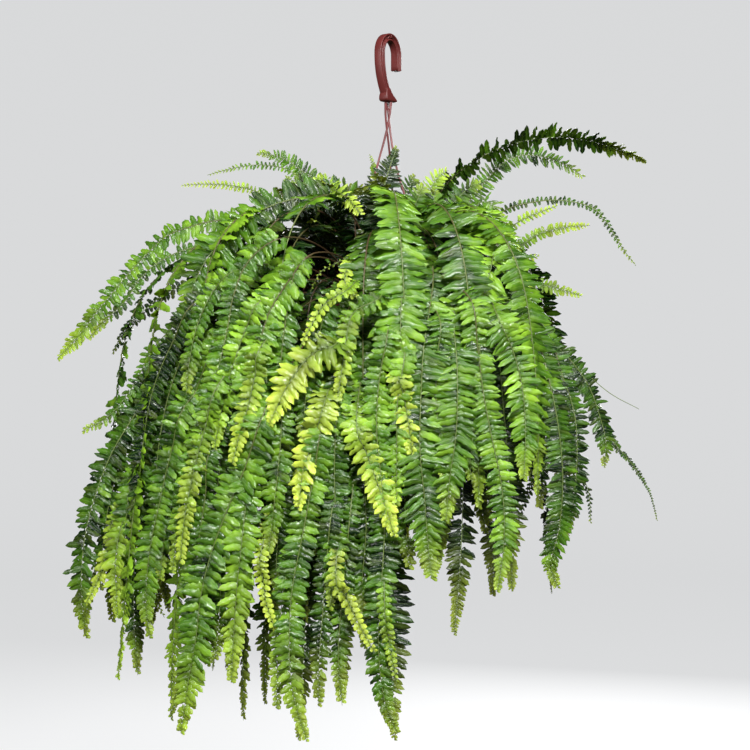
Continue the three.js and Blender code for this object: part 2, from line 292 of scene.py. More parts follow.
STRAND_AZIMUTHS = (196, 316, 76)
STRAND_RADIUS = 0.0013
STRAND_ROOT_RADIUS = 0.0019
STRAND_SIDES = 12
STRAND_ROUTE = [
    (-0.0733, 0.0036, 150), (-0.086, 0.0032, 125), (-0.100, 0.0022, 75), (-0.113, 0.0036, 20),
    (-0.135, 0.009, 0), (-0.170, 0.020, 0), (-0.215, 0.042, 0), (-0.265, 0.077, 0),
    (-0.292, 0.100, 0), (-0.305, 0.1045, 0), (-0.310, 0.1045, 0),
]


def smooth_route(points, per_span):
    """A Catmull-Rom curve through points: each span is the cubic whose slope at a point is half
    the step between that point's neighbours."""
    p = np.concatenate([2 * points[:1] - points[1:2], points, 2 * points[-1:] - points[-2:-1]])
    t = np.linspace(0, 1, per_span, endpoint=False)[None, :, None]
    a, b, c, d = p[:-3, None], p[1:-2, None], p[2:-1, None], p[3:, None]
    curve = 2 * b + (c - a) * t + (2 * a - 5 * b + 4 * c - d) * t**2 + (3 * b - a - 3 * c + d) * t**3
    return np.concatenate([curve.reshape(-1, 3) / 2, points[-1:]])


def tube(path, radii, sides):
    """Rings of a round section round each point of a path, square to it. Their first direction
    is the part of a fixed sideways direction that is square to the path."""
    along = np.gradient(path, axis=0)
    along /= np.linalg.norm(along, axis=1)[:, None]
    lean = np.array([0.83, 0.55, 0.09])
    first = lean - along * (along @ lean)[:, None]
    first /= np.linalg.norm(first, axis=1)[:, None]
    second = np.cross(along, first)
    turn = np.arange(sides) / sides * 2 * math.pi
    ring = np.cos(turn)[None, :, None] * first[:, None] + np.sin(turn)[None, :, None] * second[:, None]
    return path[:, None] + ring * np.asarray(radii)[:, None, None]


strand_plastic = moulded_plastic("strand_plastic", (0.155, 0.036, 0.036), 0.4, 1200)
BARB_PROFILE = [
    (-0.3083, 0.0013), (-0.30835, 0.0036), (-0.3088, 0.0040), (-0.3098, 0.0039),
    (-0.3130, 0.0028), (-0.3160, 0.0017), (-0.3163, 0.0010),
]
for number, azimuth in enumerate(STRAND_AZIMUTHS):
    heights, radii, twists = np.array(STRAND_ROUTE).T
    angle = np.radians(azimuth + twists)
    route = smooth_route(np.stack([radii * np.cos(angle), radii * np.sin(angle), heights], 1), 12)
    thickness = STRAND_RADIUS * (1 + 0.9 * np.exp(-np.arange(len(route)) / 4))
    rod = tube(route, np.minimum(thickness, STRAND_ROOT_RADIUS), STRAND_SIDES)
    barb_z, barb_r = np.array(BARB_PROFILE).T
    end = np.concatenate([np.tile(route[-1, :2], (len(barb_z), 1)), barb_z[:, None]], 1)
    barb = tube(end, barb_r, STRAND_SIDES)
    rings = np.concatenate([rod, barb])
    round_end = np.arange(STRAND_SIDES)
    strand = new_piece(
        f"strand_rod_{number + 1}", rings.reshape(-1, 3),
        np.concatenate([
            grid_faces(len(rod), STRAND_SIDES, True),
            grid_faces(len(barb), STRAND_SIDES, True) + len(rod) * STRAND_SIDES,
        ]), [strand_plastic],
        caps=[
            round_end[::-1], round_end + (len(rod) - 1) * STRAND_SIDES,
            round_end[::-1] + len(rod) * STRAND_SIDES, round_end + (len(rings) - 1) * STRAND_SIDES,
        ],
    )
    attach(strand, "root")
    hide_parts(f"strand_{number + 1}")

# ---- pot ----
# A thin tapered pot, moulded in a red-brown plastic like the hanger's, with a stiffening bead
# under its flange and a raised foot ring. The strands' barbs hold it up by the flange.

POT_SIDES = 96
POT_PROFILE = [
    (0.0001, -0.4336), (0.066, -0.4336), (0.0710, -0.4330), (0.0730, -0.4300), (0.0836, -0.376),
    (0.0938, -0.324), (0.0974, -0.3058), (0.0980, -0.3052), (0.1000, -0.3050), (0.1084, -0.3050),
    (0.1090, -0.3054), (0.1090, -0.3076), (0.1084, -0.3080), (0.1020, -0.3080), (0.1006, -0.3086),
    (0.1003, -0.3096), (0.1012, -0.3112), (0.1006, -0.3130), (0.0990, -0.3142), (0.0974, -0.3190),
    (0.0866, -0.3720), (0.0760, -0.4240), (0.0728, -0.4390), (0.0720, -0.4400), (0.0668, -0.4400),
    (0.0660, -0.4394), (0.0646, -0.4368), (0.0630, -0.4360), (0.0400, -0.4360), (0.0390, -0.4364),
    (0.0370, -0.4364), (0.0360, -0.4360), (0.0001, -0.4360),
]
pot_plastic = moulded_plastic("pot_plastic", (0.125, 0.021, 0.018), 0.4, 500)


def turned(profile, sides):
    """A profile of radius and height carried once round the pot's axis."""
    radius, height = np.array(profile).T
    turn = np.arange(sides) / sides * 2 * math.pi
    x = radius[:, None] * np.cos(turn)
    y = radius[:, None] * np.sin(turn)
    return np.stack([x, y, np.broadcast_to(height[:, None], x.shape)], -1)


pot = new_piece(
    "hanging_pot", turned(POT_PROFILE, POT_SIDES).reshape(-1, 3),
    grid_faces(len(POT_PROFILE), POT_SIDES, True), [pot_plastic],
    caps=[
        np.arange(POT_SIDES)[::-1], np.arange(POT_SIDES) + (len(POT_PROFILE) - 1) * POT_SIDES,
    ],
)
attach(pot, "root")
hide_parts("pot")

# ---- soil ----
# Moist dark peat that fills the pot to 20 mm below the rim, uneven and crumbly on top. The
# fern's roots grow through it.

SOIL_Z = -0.325
SOIL_RADIUS = 0.0935
SOIL_DEPTH = 0.1
SOIL_TAPER = 0.80
SOIL_RINGS, SOIL_SIDES = 26, 72


def earth(name, dark, light, scale):
    """Peat and fibre: one noise drives the colour between dark and light crumbs, and it also
    roughens the surface."""
    material, tree, shader = new_material(name)
    crumbs = add_noise(tree, scale, 8, Roughness=0.7)
    feed(tree, shader, {
        "Roughness": 0.9,
        "Base Color": add_ramp(tree, crumbs, [(0.35, dark), (0.72, light)]),
        "Normal": add_bump(tree, crumbs, 0.8, 0.002),
    })
    return material


peat = earth("peat", (0.012, 0.007, 0.004), (0.075, 0.042, 0.022), 260)
soil_random = np.random.default_rng(11)
radius = SOIL_RADIUS * np.linspace(0, 1, SOIL_RINGS)[1:]
turn = np.arange(SOIL_SIDES) / SOIL_SIDES * 2 * math.pi
x, y = radius[:, None] * np.cos(turn), radius[:, None] * np.sin(turn)
lumps = 0.0016 * np.sin(190 * x + 1.3) * np.cos(170 * y) + 0.0009 * np.sin(610 * x - 430 * y)
lumps = lumps + soil_random.normal(0, 0.0006, x.shape)
lumps[-1] = 0
top = np.stack([x, y, SOIL_Z + lumps], -1)
skirt = top[-1:] * (SOIL_TAPER, SOIL_TAPER, 1) - (0, 0, SOIL_DEPTH)
soil = new_piece(
    "soil_peat", np.concatenate([skirt, top[::-1]]).reshape(-1, 3),
    grid_faces(SOIL_RINGS, SOIL_SIDES, True), [peat],
    caps=[np.arange(SOIL_SIDES)[::-1], np.arange(SOIL_SIDES) + (SOIL_RINGS - 1) * SOIL_SIDES],
)
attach(soil, "root")
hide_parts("soil")

# ---- crown ----
# The clump that the fronds grow from: a low mound of rhizomes covered in brown scales, with the
# cut and broken bases of old stalks standing on it.

CROWN_RADIUS = 0.082
CROWN_HEIGHT = 0.022
CROWN_FOOT_Z = -0.3247
CROWN_RINGS, CROWN_SIDES = 20, 90
OLD_STALKS = 150
OLD_STALK_SPREAD = 0.076
OLD_STALK_LEAN = 9
OLD_STALK_HEIGHTS = np.array([0, 0.5, 0.92, 1.0])
OLD_STALK_GIRTHS = np.array([1.5, 1.0, 0.9, 0.45])
STALK_SIDES = 6

scales = earth("brown_scales", (0.035, 0.016, 0.007), (0.26, 0.13, 0.055), 420)
crown_random = np.random.default_rng(5)


def crown_height(distance):
    """The dome's height at a distance from the middle: its foot, plus its height times the root
    of one less 0.85 times the squared share of its radius."""
    share = np.minimum(distance / CROWN_RADIUS, 1)
    return CROWN_FOOT_Z + CROWN_HEIGHT * np.sqrt(1 - 0.85 * share**2)


radius = CROWN_RADIUS * np.linspace(1, 0.02, CROWN_RINGS)
turn = np.arange(CROWN_SIDES) / CROWN_SIDES * 2 * math.pi
x, y = radius[:, None] * np.cos(turn), radius[:, None] * np.sin(turn)
rough = crown_random.normal(0, 0.0009, x.shape) - 0.001
mound = np.stack([x, y, crown_height(np.hypot(x, y)) + rough], -1)
foot = mound[:1] * (0.97, 0.97, 0) + (0, 0, CROWN_FOOT_Z)
mound_points = np.concatenate([foot, mound]).reshape(-1, 3)
mound_faces = grid_faces(CROWN_RINGS + 1, CROWN_SIDES, True)

angle = crown_random.uniform(0, 2 * math.pi, OLD_STALKS)
distance = OLD_STALK_SPREAD * np.sqrt(crown_random.uniform(0.01, 1, OLD_STALKS))
x, y = distance * np.cos(angle), distance * np.sin(angle)
base = np.stack([x, y, crown_height(distance) - 0.003], 1)
lean = np.stack([x * OLD_STALK_LEAN, y * OLD_STALK_LEAN, np.ones(OLD_STALKS)], 1)
lean += crown_random.normal(0, 0.18, lean.shape)
lean /= np.linalg.norm(lean, axis=1)[:, None]
height = crown_random.uniform(0.006, 0.017, OLD_STALKS)
girth = crown_random.uniform(0.0012, 0.0022, OLD_STALKS)
turn = np.arange(STALK_SIDES) / STALK_SIDES * 2 * math.pi
spoke = np.stack([np.cos(turn), np.sin(turn), np.zeros(STALK_SIDES)], 1)
stalks = (
    base[:, None, None]
    + lean[:, None, None] * (OLD_STALK_HEIGHTS * height[:, None])[..., None, None]
    + spoke * (OLD_STALK_GIRTHS * girth[:, None])[..., None, None]
)
firsts = np.arange(OLD_STALKS) * len(OLD_STALK_HEIGHTS) * STALK_SIDES + len(mound_points)
one_stalk = grid_faces(len(OLD_STALK_HEIGHTS), STALK_SIDES, True)
stalk_faces = (one_stalk[None] + firsts[:, None, None]).reshape(-1, 4)
last_ring = np.arange(STALK_SIDES) + (len(OLD_STALK_HEIGHTS) - 1) * STALK_SIDES
crown = new_piece(
    "crown_clump", np.concatenate([mound_points, stalks.reshape(-1, 3)]),
    np.concatenate([mound_faces, stalk_faces]), [scales],
    caps=[
        np.arange(CROWN_SIDES)[::-1], np.arange(CROWN_SIDES) + CROWN_RINGS * CROWN_SIDES,
        *(last_ring + firsts[:, None]),
    ],
)
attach(crown, "root")
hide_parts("crown")

# ---- fronds ----
# Each frond is a wiry midrib that arches out of the crown and hangs, with a row of close-set
# leaflets down each side. Leaflets are oblong, eared at the base, scalloped and a little curved
# towards the tip, and they droop under their own weight.

# Azimuth in degrees, distance of the foot from the middle, heading above level at the crown,
# heading below level where it hangs, length over which it bends, whole length, sway of the tip,
# roll of the blade and its width, in millimetres and degrees.
FRONDS = {
    "upright": [
        [135, 22, 86, -70, 180, 180, -26, 60, 18],
        [40, 30, 80, -40, 200, 190, 0, -30, 26],
        [262, 16, 80, -30, 150, 150, -10, 15, 26],
    ],
    "arching": [
        [2, 16, 76, 24, 420, 405, 0, 25, 46],
        [16, 28, 68, 2, 300, 290, 0, 15, 34],
        [350, 26, 56, 52, 350, 345, 0, 0, 34],
        [32, 40, 48, -10, 240, 240, 0, 10, 32],
        [324, 46, 34, -8, 230, 235, 0, 10, 30],
        [16, 52, 37, 20, 190, 200, 0, 0, 22],
        [164, 18, 60, 0, 290, 300, 0, 0, 30],
        [151, 36, 62, -10, 270, 270, 0, 0, 30],
        [138, 26, 76, -24, 250, 250, 0, 0, 30],
        [176, 16, 56, 46, 400, 500, 0, 0, 46],
        [167, 34, 50, 60, 350, 440, 0, 0, 40],
        [190, 26, 50, 62, 370, 480, 0, 0, 40],
    ],
    "outer": [
        [184, 44, 38, 82, 400, 680, 0, 0, 54],
        [203, 34, 48, 84, 385, 740, 0, 0, 54],
        [216, 24, 60, 86, 380, 800, 0, 0, 54],
        [229, 26, 62, 86, 340, 720, 0, 0, 54],
        [242, 24, 64, 86, 370, 480, 0, 0, 54],
        [255, 28, 62, 86, 350, 560, 0, 0, 54],
        [273, 24, 66, 88, 370, 500, 0, 0, 56],
        [291, 28, 62, 88, 350, 540, 0, 0, 54],
        [309, 24, 60, 86, 340, 520, 0, 0, 52],
        [334, 24, 58, 84, 340, 540, 0, 0, 48],
        [6, 44, 48, 60, 210, 490, 0, 0, 36],
        [48, 24, 64, 84, 380, 560, 0, 0, 52],
        [69, 24, 64, 84, 400, 600, 0, 0, 52],
        [91, 24, 64, 84, 400, 600, 0, 0, 52],
        [112, 24, 64, 84, 400, 600, 0, 0, 52],
    ],
    "middle": [
        [355, 46, 54, 82, 260, 460, 0, 0, 50],
        [26, 46, 54, 84, 280, 520, 0, 0, 52],
        [56, 46, 54, 86, 290, 540, 0, 0, 52],
        [84, 46, 54, 86, 290, 580, 0, 0, 52],
        [112, 46, 54, 86, 290, 600, 0, 0, 52],
        [140, 46, 54, 86, 290, 600, 0, 0, 52],
        [166, 46, 50, 84, 320, 640, 0, 0, 54],
        [209, 46, 50, 84, 290, 620, 0, 0, 54],
        [234, 46, 54, 86, 280, 560, 0, 0, 54],
        [263, 46, 54, 88, 280, 610, 0, 0, 54],
        [284, 46, 54, 88, 240, 500, 0, 0, 54],
        [304, 46, 54, 86, 260, 540, 0, 0, 54],
        [340, 46, 54, 84, 280, 480, 0, 0, 52],
    ],
    "inner": [
        [352, 74, 36, 86, 150, 450, 0, 0, 48],
        [32, 74, 36, 88, 150, 380, 0, 0, 48],
        [66, 74, 36, 88, 150, 420, 0, 0, 48],
        [104, 74, 36, 88, 150, 440, 0, 0, 48],
        [146, 74, 36, 88, 150, 460, 0, 0, 48],
        [189, 74, 36, 88, 150, 540, 0, 0, 48],
        [221, 74, 36, 88, 150, 560, 0, 0, 48],
        [238, 74, 36, 88, 150, 590, 0, 0, 48],
        [254, 74, 36, 88, 150, 540, 0, 0, 48],
        [272, 74, 36, 88, 150, 585, 0, 0, 48],
    ],
}


def smooth_step(value, low, high):
    """Rises from 0 at low to 1 at high along three t squared less two t cubed."""
    t = np.clip((value - low) / (high - low), 0, 1)
    return t * t * (3 - 2 * t)


STATIONS = 241
CROWN_GAP = 0.0007


def midrib(row, wobble):
    """The midrib at evenly spaced stations: its heading falls from launch to below level along
    a smooth step over the bend, and its position is the running sum of the heading's steps.
    wobble adds a slow wave sideways and one outward, and a slow twist to the roll. Gives the
    stations' shares of the length, positions, directions, sides and face normals."""
    azimuth, foot, launch, hang, bend, length, sway, roll, _ = row
    shares = np.linspace(0, 1, STATIONS)
    turned_by = smooth_step((shares[:-1] + shares[1:]) / 2 * length, 0, bend)
    heading = np.radians(launch - (launch + hang) * turned_by)
    step = length / (STATIONS - 1) / 1000
    out = foot / 1000 + np.concatenate([[0], np.cumsum(np.cos(heading))]) * step
    rise = np.concatenate([[0], np.cumsum(np.sin(heading))]) * step
    angle = math.radians(azimuth)
    outward = np.array([math.cos(angle), math.sin(angle), 0])
    sideways = np.array([-math.sin(angle), math.cos(angle), 0])
    drift = sway / 1000 * shares**2
    free = smooth_step(shares, 0.1, 0.5)
    waves = wobble[0] * np.sin(shares * wobble[2] * 6 + wobble[3]) * free
    bob = wobble[1] * np.sin(shares * wobble[2] * 9 + wobble[4]) * free
    start = crown_height(foot / 1000) + CROWN_GAP
    points = out[:, None] * outward + (drift + waves)[:, None] * sideways
    points[:, 2] += start + rise
    points += bob[:, None] * outward
    along = np.gradient(points, axis=0)
    along /= np.linalg.norm(along, axis=1)[:, None]
    side = sideways - along * (along @ sideways)[:, None]
    side /= np.linalg.norm(side, axis=1)[:, None]
    face = np.cross(along, side)
    tilt = np.radians(roll) * smooth_step(shares, 0, 0.5)[:, None]
    twist = wobble[5] * np.sin(shares * 5 + wobble[3])[:, None]
    tilt = tilt + twist * smooth_step(shares, 0.05, 0.4)[:, None]
    turned_side = side * np.cos(tilt) - face * np.sin(tilt)
    turned_face = face * np.cos(tilt) + side * np.sin(tilt)
    return shares, points, along, turned_side, turned_face


# Leaflets stand so far apart, plus a share of their reach, and the right one of a pair stands a
# little behind the left one. They are shortest at the frond's foot and lean forward at its tip.
SPACING, SPACING_BY_REACH = 0.0029, 0.185
STAGGER = 0.0016
FOOT_SIZE = 0.45
TIP_LEAN = 0.45
# Leaflets have died off in the mouth of a hollow left of the front, and behind it they are painted
# darker as painted shade.
HOLLOW_CENTRE = np.array([-0.078, -0.22, -0.246])
HOLLOW_RADII = np.array([0.042, 0.11, 0.036])
SHADE_CENTRE = np.array([-0.070, -0.04, -0.250])
SHADE_RADII = np.array([0.085, 0.14, 0.065])
SHADE_DEPTH = 0.5


def values_at(places, shares, values):
    """Vectors known at shares of the way along, read off at places between them."""
    return np.stack([np.interp(places, shares, values[:, k]) for k in range(3)], 1)


def leaflet_places(frames, length, half, random, looks):
    """Each leaflet's share of the way along, its hand, which is 1 on the left and -1 on the
    right, and its reach. Pairs stand where the running count of spacings passes half numbers.
    The reach rises to its full size over a fifth of the frond and shrinks again from taper on.
    Some leaflets are lost at random, and some at the hollow."""
    shares, points, _, _, _ = frames
    bare = looks["bare"]
    size = FOOT_SIZE + (1 - FOOT_SIZE) * smooth_step(shares, bare, bare + 0.2)
    size = size * (1 - looks["point"] * smooth_step(shares, looks["taper"], 1.05) ** 1.3)
    apart = (SPACING + SPACING_BY_REACH * half * size) * looks["spread"]
    count = np.cumsum(length / (STATIONS - 1) / apart * (shares > bare))
    number = int(count[-1])
    places = np.repeat(np.interp(np.arange(number) + 0.5, count, shares), 2)
    hand = np.tile([1.0, -1.0], number)
    places = np.clip(places + hand * STAGGER / length, 0, 0.999)
    keep = random.uniform(0, 1, len(places)) > looks["gaps"]
    from_hollow = (values_at(places, shares, points) - HOLLOW_CENTRE) / HOLLOW_RADII
    keep &= (from_hollow**2).sum(1) > random.uniform(0.6, 1.3, len(places))
    places, hand = places[keep], hand[keep]
    reach = np.interp(places, shares, size) * half * random.normal(1, 0.07, len(places))
    return places, hand, reach


# The grid of a leaflet's points: shares of its reach, shares of its half width, and how far its
# halves bulge out of its plane, as shares of its half width. Gravity counts less in the plane of
# the frond than out of it.
LEAFLET_U = np.array([0, 0.05, 0.15, 0.29, 0.43, 0.57, 0.71, 0.85, 1.0])
LEAFLET_V = np.array([-1, -0.55, 0, 0.55, 1])
LEAFLET_BULGE = np.array([-0.42, 0.16, 0, 0.16, -0.42])
LEAFLET_FACES = grid_faces(len(LEAFLET_U), len(LEAFLET_V), False)[:, ::-1]
GRAVITY_IN_PLANE = 0.33


def leaflet_spines(frames, places, hand, reach, random, looks):
    """Each leaflet's middle line, with its normals and broad directions. It sets out square to
    the midrib but for its lean and lift. Its direction is that start, plus gravity times the
    share of the reach to the power 1.4, plus a curl forward times that share to the power 1.5.
    The line is the running sum of the steps, and the leaflet twists round it."""
    total = len(places)
    root, forward, across, up = (values_at(places, frames[0], values) for values in frames[1:])
    lean = np.radians(random.normal(looks["lean"], 6, total))
    lean = lean + TIP_LEAN * smooth_step(places, 0.7, 1)
    start = across * (hand * np.cos(lean))[:, None] + forward * np.sin(lean)[:, None]
    start += up * random.normal(looks["lift"], 0.2, total)[:, None]
    down = np.array([0, 0, -1.0])
    pressed = up * (up @ down)[:, None]
    pull = pressed + GRAVITY_IN_PLANE * (down - pressed)
    droop = np.clip(random.normal(looks["droop"], 0.2, total), 0, 2)
    curl = random.normal(looks["curl"], 0.14, total)
    direction = (
        start[:, None]
        + pull[:, None] * (droop[:, None] * LEAFLET_U**1.4)[..., None]
        + forward[:, None] * (curl[:, None] * LEAFLET_U**1.5)[..., None]
    )
    direction /= np.linalg.norm(direction, axis=2)[..., None]
    steps = np.diff(LEAFLET_U)[None, :, None] * reach[:, None, None]
    middle = (direction[:, 1:] + direction[:, :-1]) / 2 * steps
    spine = root[:, None] + np.concatenate([np.zeros((total, 1, 3)), np.cumsum(middle, 1)], 1)
    normal = up[:, None] - direction * np.einsum("ijk,ik->ij", direction, up)[..., None]
    normal /= np.linalg.norm(normal, axis=2)[..., None] + 1e-9
    broad = np.cross(normal, direction)
    twist = random.normal(0, looks["twist"], total)[:, None, None] * (0.4 + LEAFLET_U[:, None])
    twist = twist + (hand * looks["pitch"])[:, None, None]
    turned_normal = normal * np.cos(twist) + broad * np.sin(twist)
    turned_broad = broad * np.cos(twist) - normal * np.sin(twist)
    return spine, turned_normal, turned_broad


# A leaflet's half width is a length plus a share of its reach, up to a larger share of it. Its
# outline is scalloped, and wider by an ear near the base, mostly on the side towards the tip.
HALF_WIDTH, HALF_WIDTH_BY_REACH, WIDEST = 0.0019, 0.096, 0.38
SCALLOP_OUT, SCALLOP_IN = 1.09, 0.93
FORWARD_EAR, BACKWARD_EAR = 0.45, 0.1
RIPPLE = 0.36


def leaflet_row(frames, length, half, random, looks):
    """All the leaflets of a frond at once, as an array of leaflet, step out, step across, and
    their places. The outline is one less e to the minus u over 0.03, for the rounded base,
    times the power 0.55 of one less u to the power 3.6, for the taper. An ear is a bell curve
    at a tenth of the reach. Out of its plane, a leaflet bulges either side of a sunken vein,
    and its edges ripple as a sine."""
    places, hand, reach = leaflet_places(frames, length, half, random, looks)
    spine, normal, broad = leaflet_spines(frames, places, hand, reach, random, looks)
    u, v = LEAFLET_U[:, None], LEAFLET_V
    breadth = np.minimum(HALF_WIDTH + HALF_WIDTH_BY_REACH * reach, WIDEST * reach)
    breadth = (breadth * random.normal(looks["broad"], 0.08, len(places)))[:, None, None]
    outline = (1 - np.exp(-u / 0.03)) * (1 - u**3.6) ** 0.55
    scallop = np.where(np.arange(len(u)) % 2 == 0, SCALLOP_OUT, SCALLOP_IN)[:, None]
    ear_size = np.where(v * hand[:, None, None] > 0, FORWARD_EAR, BACKWARD_EAR)
    ear = 1 + ear_size * np.exp(-(((u - 0.1) / 0.1) ** 2))
    width = breadth * outline * ear * np.where(np.abs(v) == 1, scallop, 1)
    bulge = LEAFLET_BULGE * width * looks["bulge"]
    phase = random.uniform(0, 6.28, len(places))[:, None, None]
    ripple = RIPPLE * breadth * np.sin(13 * u + phase + 1.5 * v)
    mesh = (
        spine[:, :, None]
        + broad[:, :, None] * (width * v)[..., None]
        + normal[:, :, None] * (bulge + ripple * v**2 * outline)[..., None]
    )
    return mesh, places


# A frond's looks unless its row says otherwise: the share of the length without leaflets, the
# share where the reach starts to shrink and by how much it does, the share of leaflets lost, a
# leaflet's forward lean in degrees, its lift, droop and forward curl, the spread of its twist,
# its pitch, its breadth and bulge, how yellow the tip is and the share of the length where that
# sets in, its tone, which also carries painted shade, and how far apart the leaflets are.
USUAL_LOOKS = {
    "bare": 0.09, "taper": 0.72, "point": 0.9, "gaps": 0.025, "lean": 6, "lift": -0.05,
    "droop": 0.35, "curl": 0.16, "twist": 0.32, "pitch": 0.05, "broad": 0.9, "bulge": 0.6,
    "youth": 0.0, "young_from": 0.8, "tone": 0.0, "spread": 1.0,
}
# A stalk's girth: a length plus a share of its leaflets' reach at the foot, and at the tip.
STALK_GIRTH, STALK_GIRTH_BY_REACH, TIP_GIRTH = 0.0005, 0.011, 0.0003
STALK_STEP = 5


def frond_piece(name, fronds, seed, **looks_given):
    """One piece that holds fronds, each given as its midrib's frames, its length, the reach of
    its leaflets and its own looks. It is made of midrib tubes and leaflets, and keeps each
    point's youth, which yellows the tips, and a tone for the leaf colours: a random spread round
    the frond's given tone, which paints fronds further in darker as painted shade, less the painted
    shade of the region behind the hollow. A stalk gets thinner as what is left of its length to
    the power 0.8."""
    random = np.random.default_rng(seed)
    points, faces, which, uv, youth, tone = [], [], [], [], [], []
    offset = 0
    for frames, length, half, own in fronds:
        looks = {**USUAL_LOOKS, **looks_given, **own}
        frond_tone = random.normal(looks["tone"], 0.12)
        frond_youth = looks["youth"] + random.normal(0, 0.03)
        if half > 0:
            leaves, places = leaflet_row(frames, length, half, random, looks)
            count, shape = len(leaves), leaves.shape[:3]
            points.append(leaves.reshape(-1, 3))
            firsts = np.arange(count) * shape[1] * shape[2] + offset
            faces.append((LEAFLET_FACES[None] + firsts[:, None, None]).reshape(-1, 4))
            which.append(np.zeros(count * len(LEAFLET_FACES), int))
            grid_u = np.broadcast_to(LEAFLET_U[None, :, None], shape)
            grid_v = np.broadcast_to((LEAFLET_V[None, None] + 1) / 2, shape)
            uv.append(np.stack([grid_u, grid_v], -1).reshape(-1, 2))
            young_from = looks["young_from"]
            age = 0.4 * smooth_step(places, young_from, 1.0)
            age = age + frond_youth * smooth_step(places, young_from - 0.1, young_from + 0.6)
            age = age + random.normal(0, 0.035, count)
            reached = age[:, None, None] * (0.6 + 0.75 * LEAFLET_U[None, :, None])
            youth.append(np.broadcast_to(reached, shape).ravel())
            # Painted shade: leaflets near the shade centre behind the hollow are darkened by up to the
            # shade depth.
            away = (((leaves.mean((1, 2)) - SHADE_CENTRE) / SHADE_RADII) ** 2).sum(1)
            shade = frond_tone + random.normal(0, 0.09, count)
            shade = shade - SHADE_DEPTH * (1 - smooth_step(away, 0.6, 1.6))
            tone.append(np.broadcast_to(shade[:, None, None], shape).ravel())
            offset += count * shape[1] * shape[2]
        share, path = frames[0][::STALK_STEP], frames[1][::STALK_STEP]
        girth = (STALK_GIRTH + STALK_GIRTH_BY_REACH * half) * (1 - share) ** 0.8 + TIP_GIRTH
        points.append(tube(path, girth, STALK_SIDES).reshape(-1, 3))
        faces.append(grid_faces(len(path), STALK_SIDES, True) + offset)
        which.append(np.ones((len(path) - 1) * STALK_SIDES, int))
        sides = np.tile(np.arange(STALK_SIDES) / STALK_SIDES, len(path))
        uv.append(np.stack([np.repeat(share, STALK_SIDES), sides], 1))
        youth.append(np.repeat(share, STALK_SIDES))
        tone.append(np.full(len(path) * STALK_SIDES, frond_tone))
        offset += len(path) * STALK_SIDES
    piece = new_piece(
        name, np.concatenate(points), np.concatenate(faces), [leaf, stalk], np.concatenate(which),
    )
    mesh = piece.data
    corners = np.empty(len(mesh.loops), np.int32)
    mesh.loops.foreach_get("vertex_index", corners)
    layer = mesh.uv_layers.new(name="leaflet")
    layer.data.foreach_set("uv", np.concatenate(uv).astype(np.float32)[corners].ravel())
    for label, values in (("youth", youth), ("tone", tone)):
        attribute = mesh.attributes.new(label, "FLOAT", "POINT")
        attribute.data.foreach_set("value", np.concatenate(values).astype(np.float32))
    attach(piece, "root")
    return piece


# Fronds on the right have narrower leaflets, set closer together. Leaflets reach a little past
# the width in the table.
CLOSE_SPREAD = 0.8
CLOSE_BROAD = 0.8
REACH_MARGIN = 1.02


def arching_frond(row, random, **own):
    """A row's frond with its wobble drawn at random: its midrib's frames, its length and its
    leaflets' reach in metres, and its own looks."""
    if math.cos(math.radians(row[0])) > 0.05:
        own = {"spread": CLOSE_SPREAD, "broad": CLOSE_BROAD, **own}
    wobble = (
        random.normal(0, 0.006), random.normal(0, 0.004), random.uniform(0.5, 1.1),
        random.uniform(0, 6.28), random.uniform(0, 6.28), random.normal(0, 0.3),
    )
    return midrib(row, wobble), row[5] / 1000, row[8] / 2000 * REACH_MARGIN, own


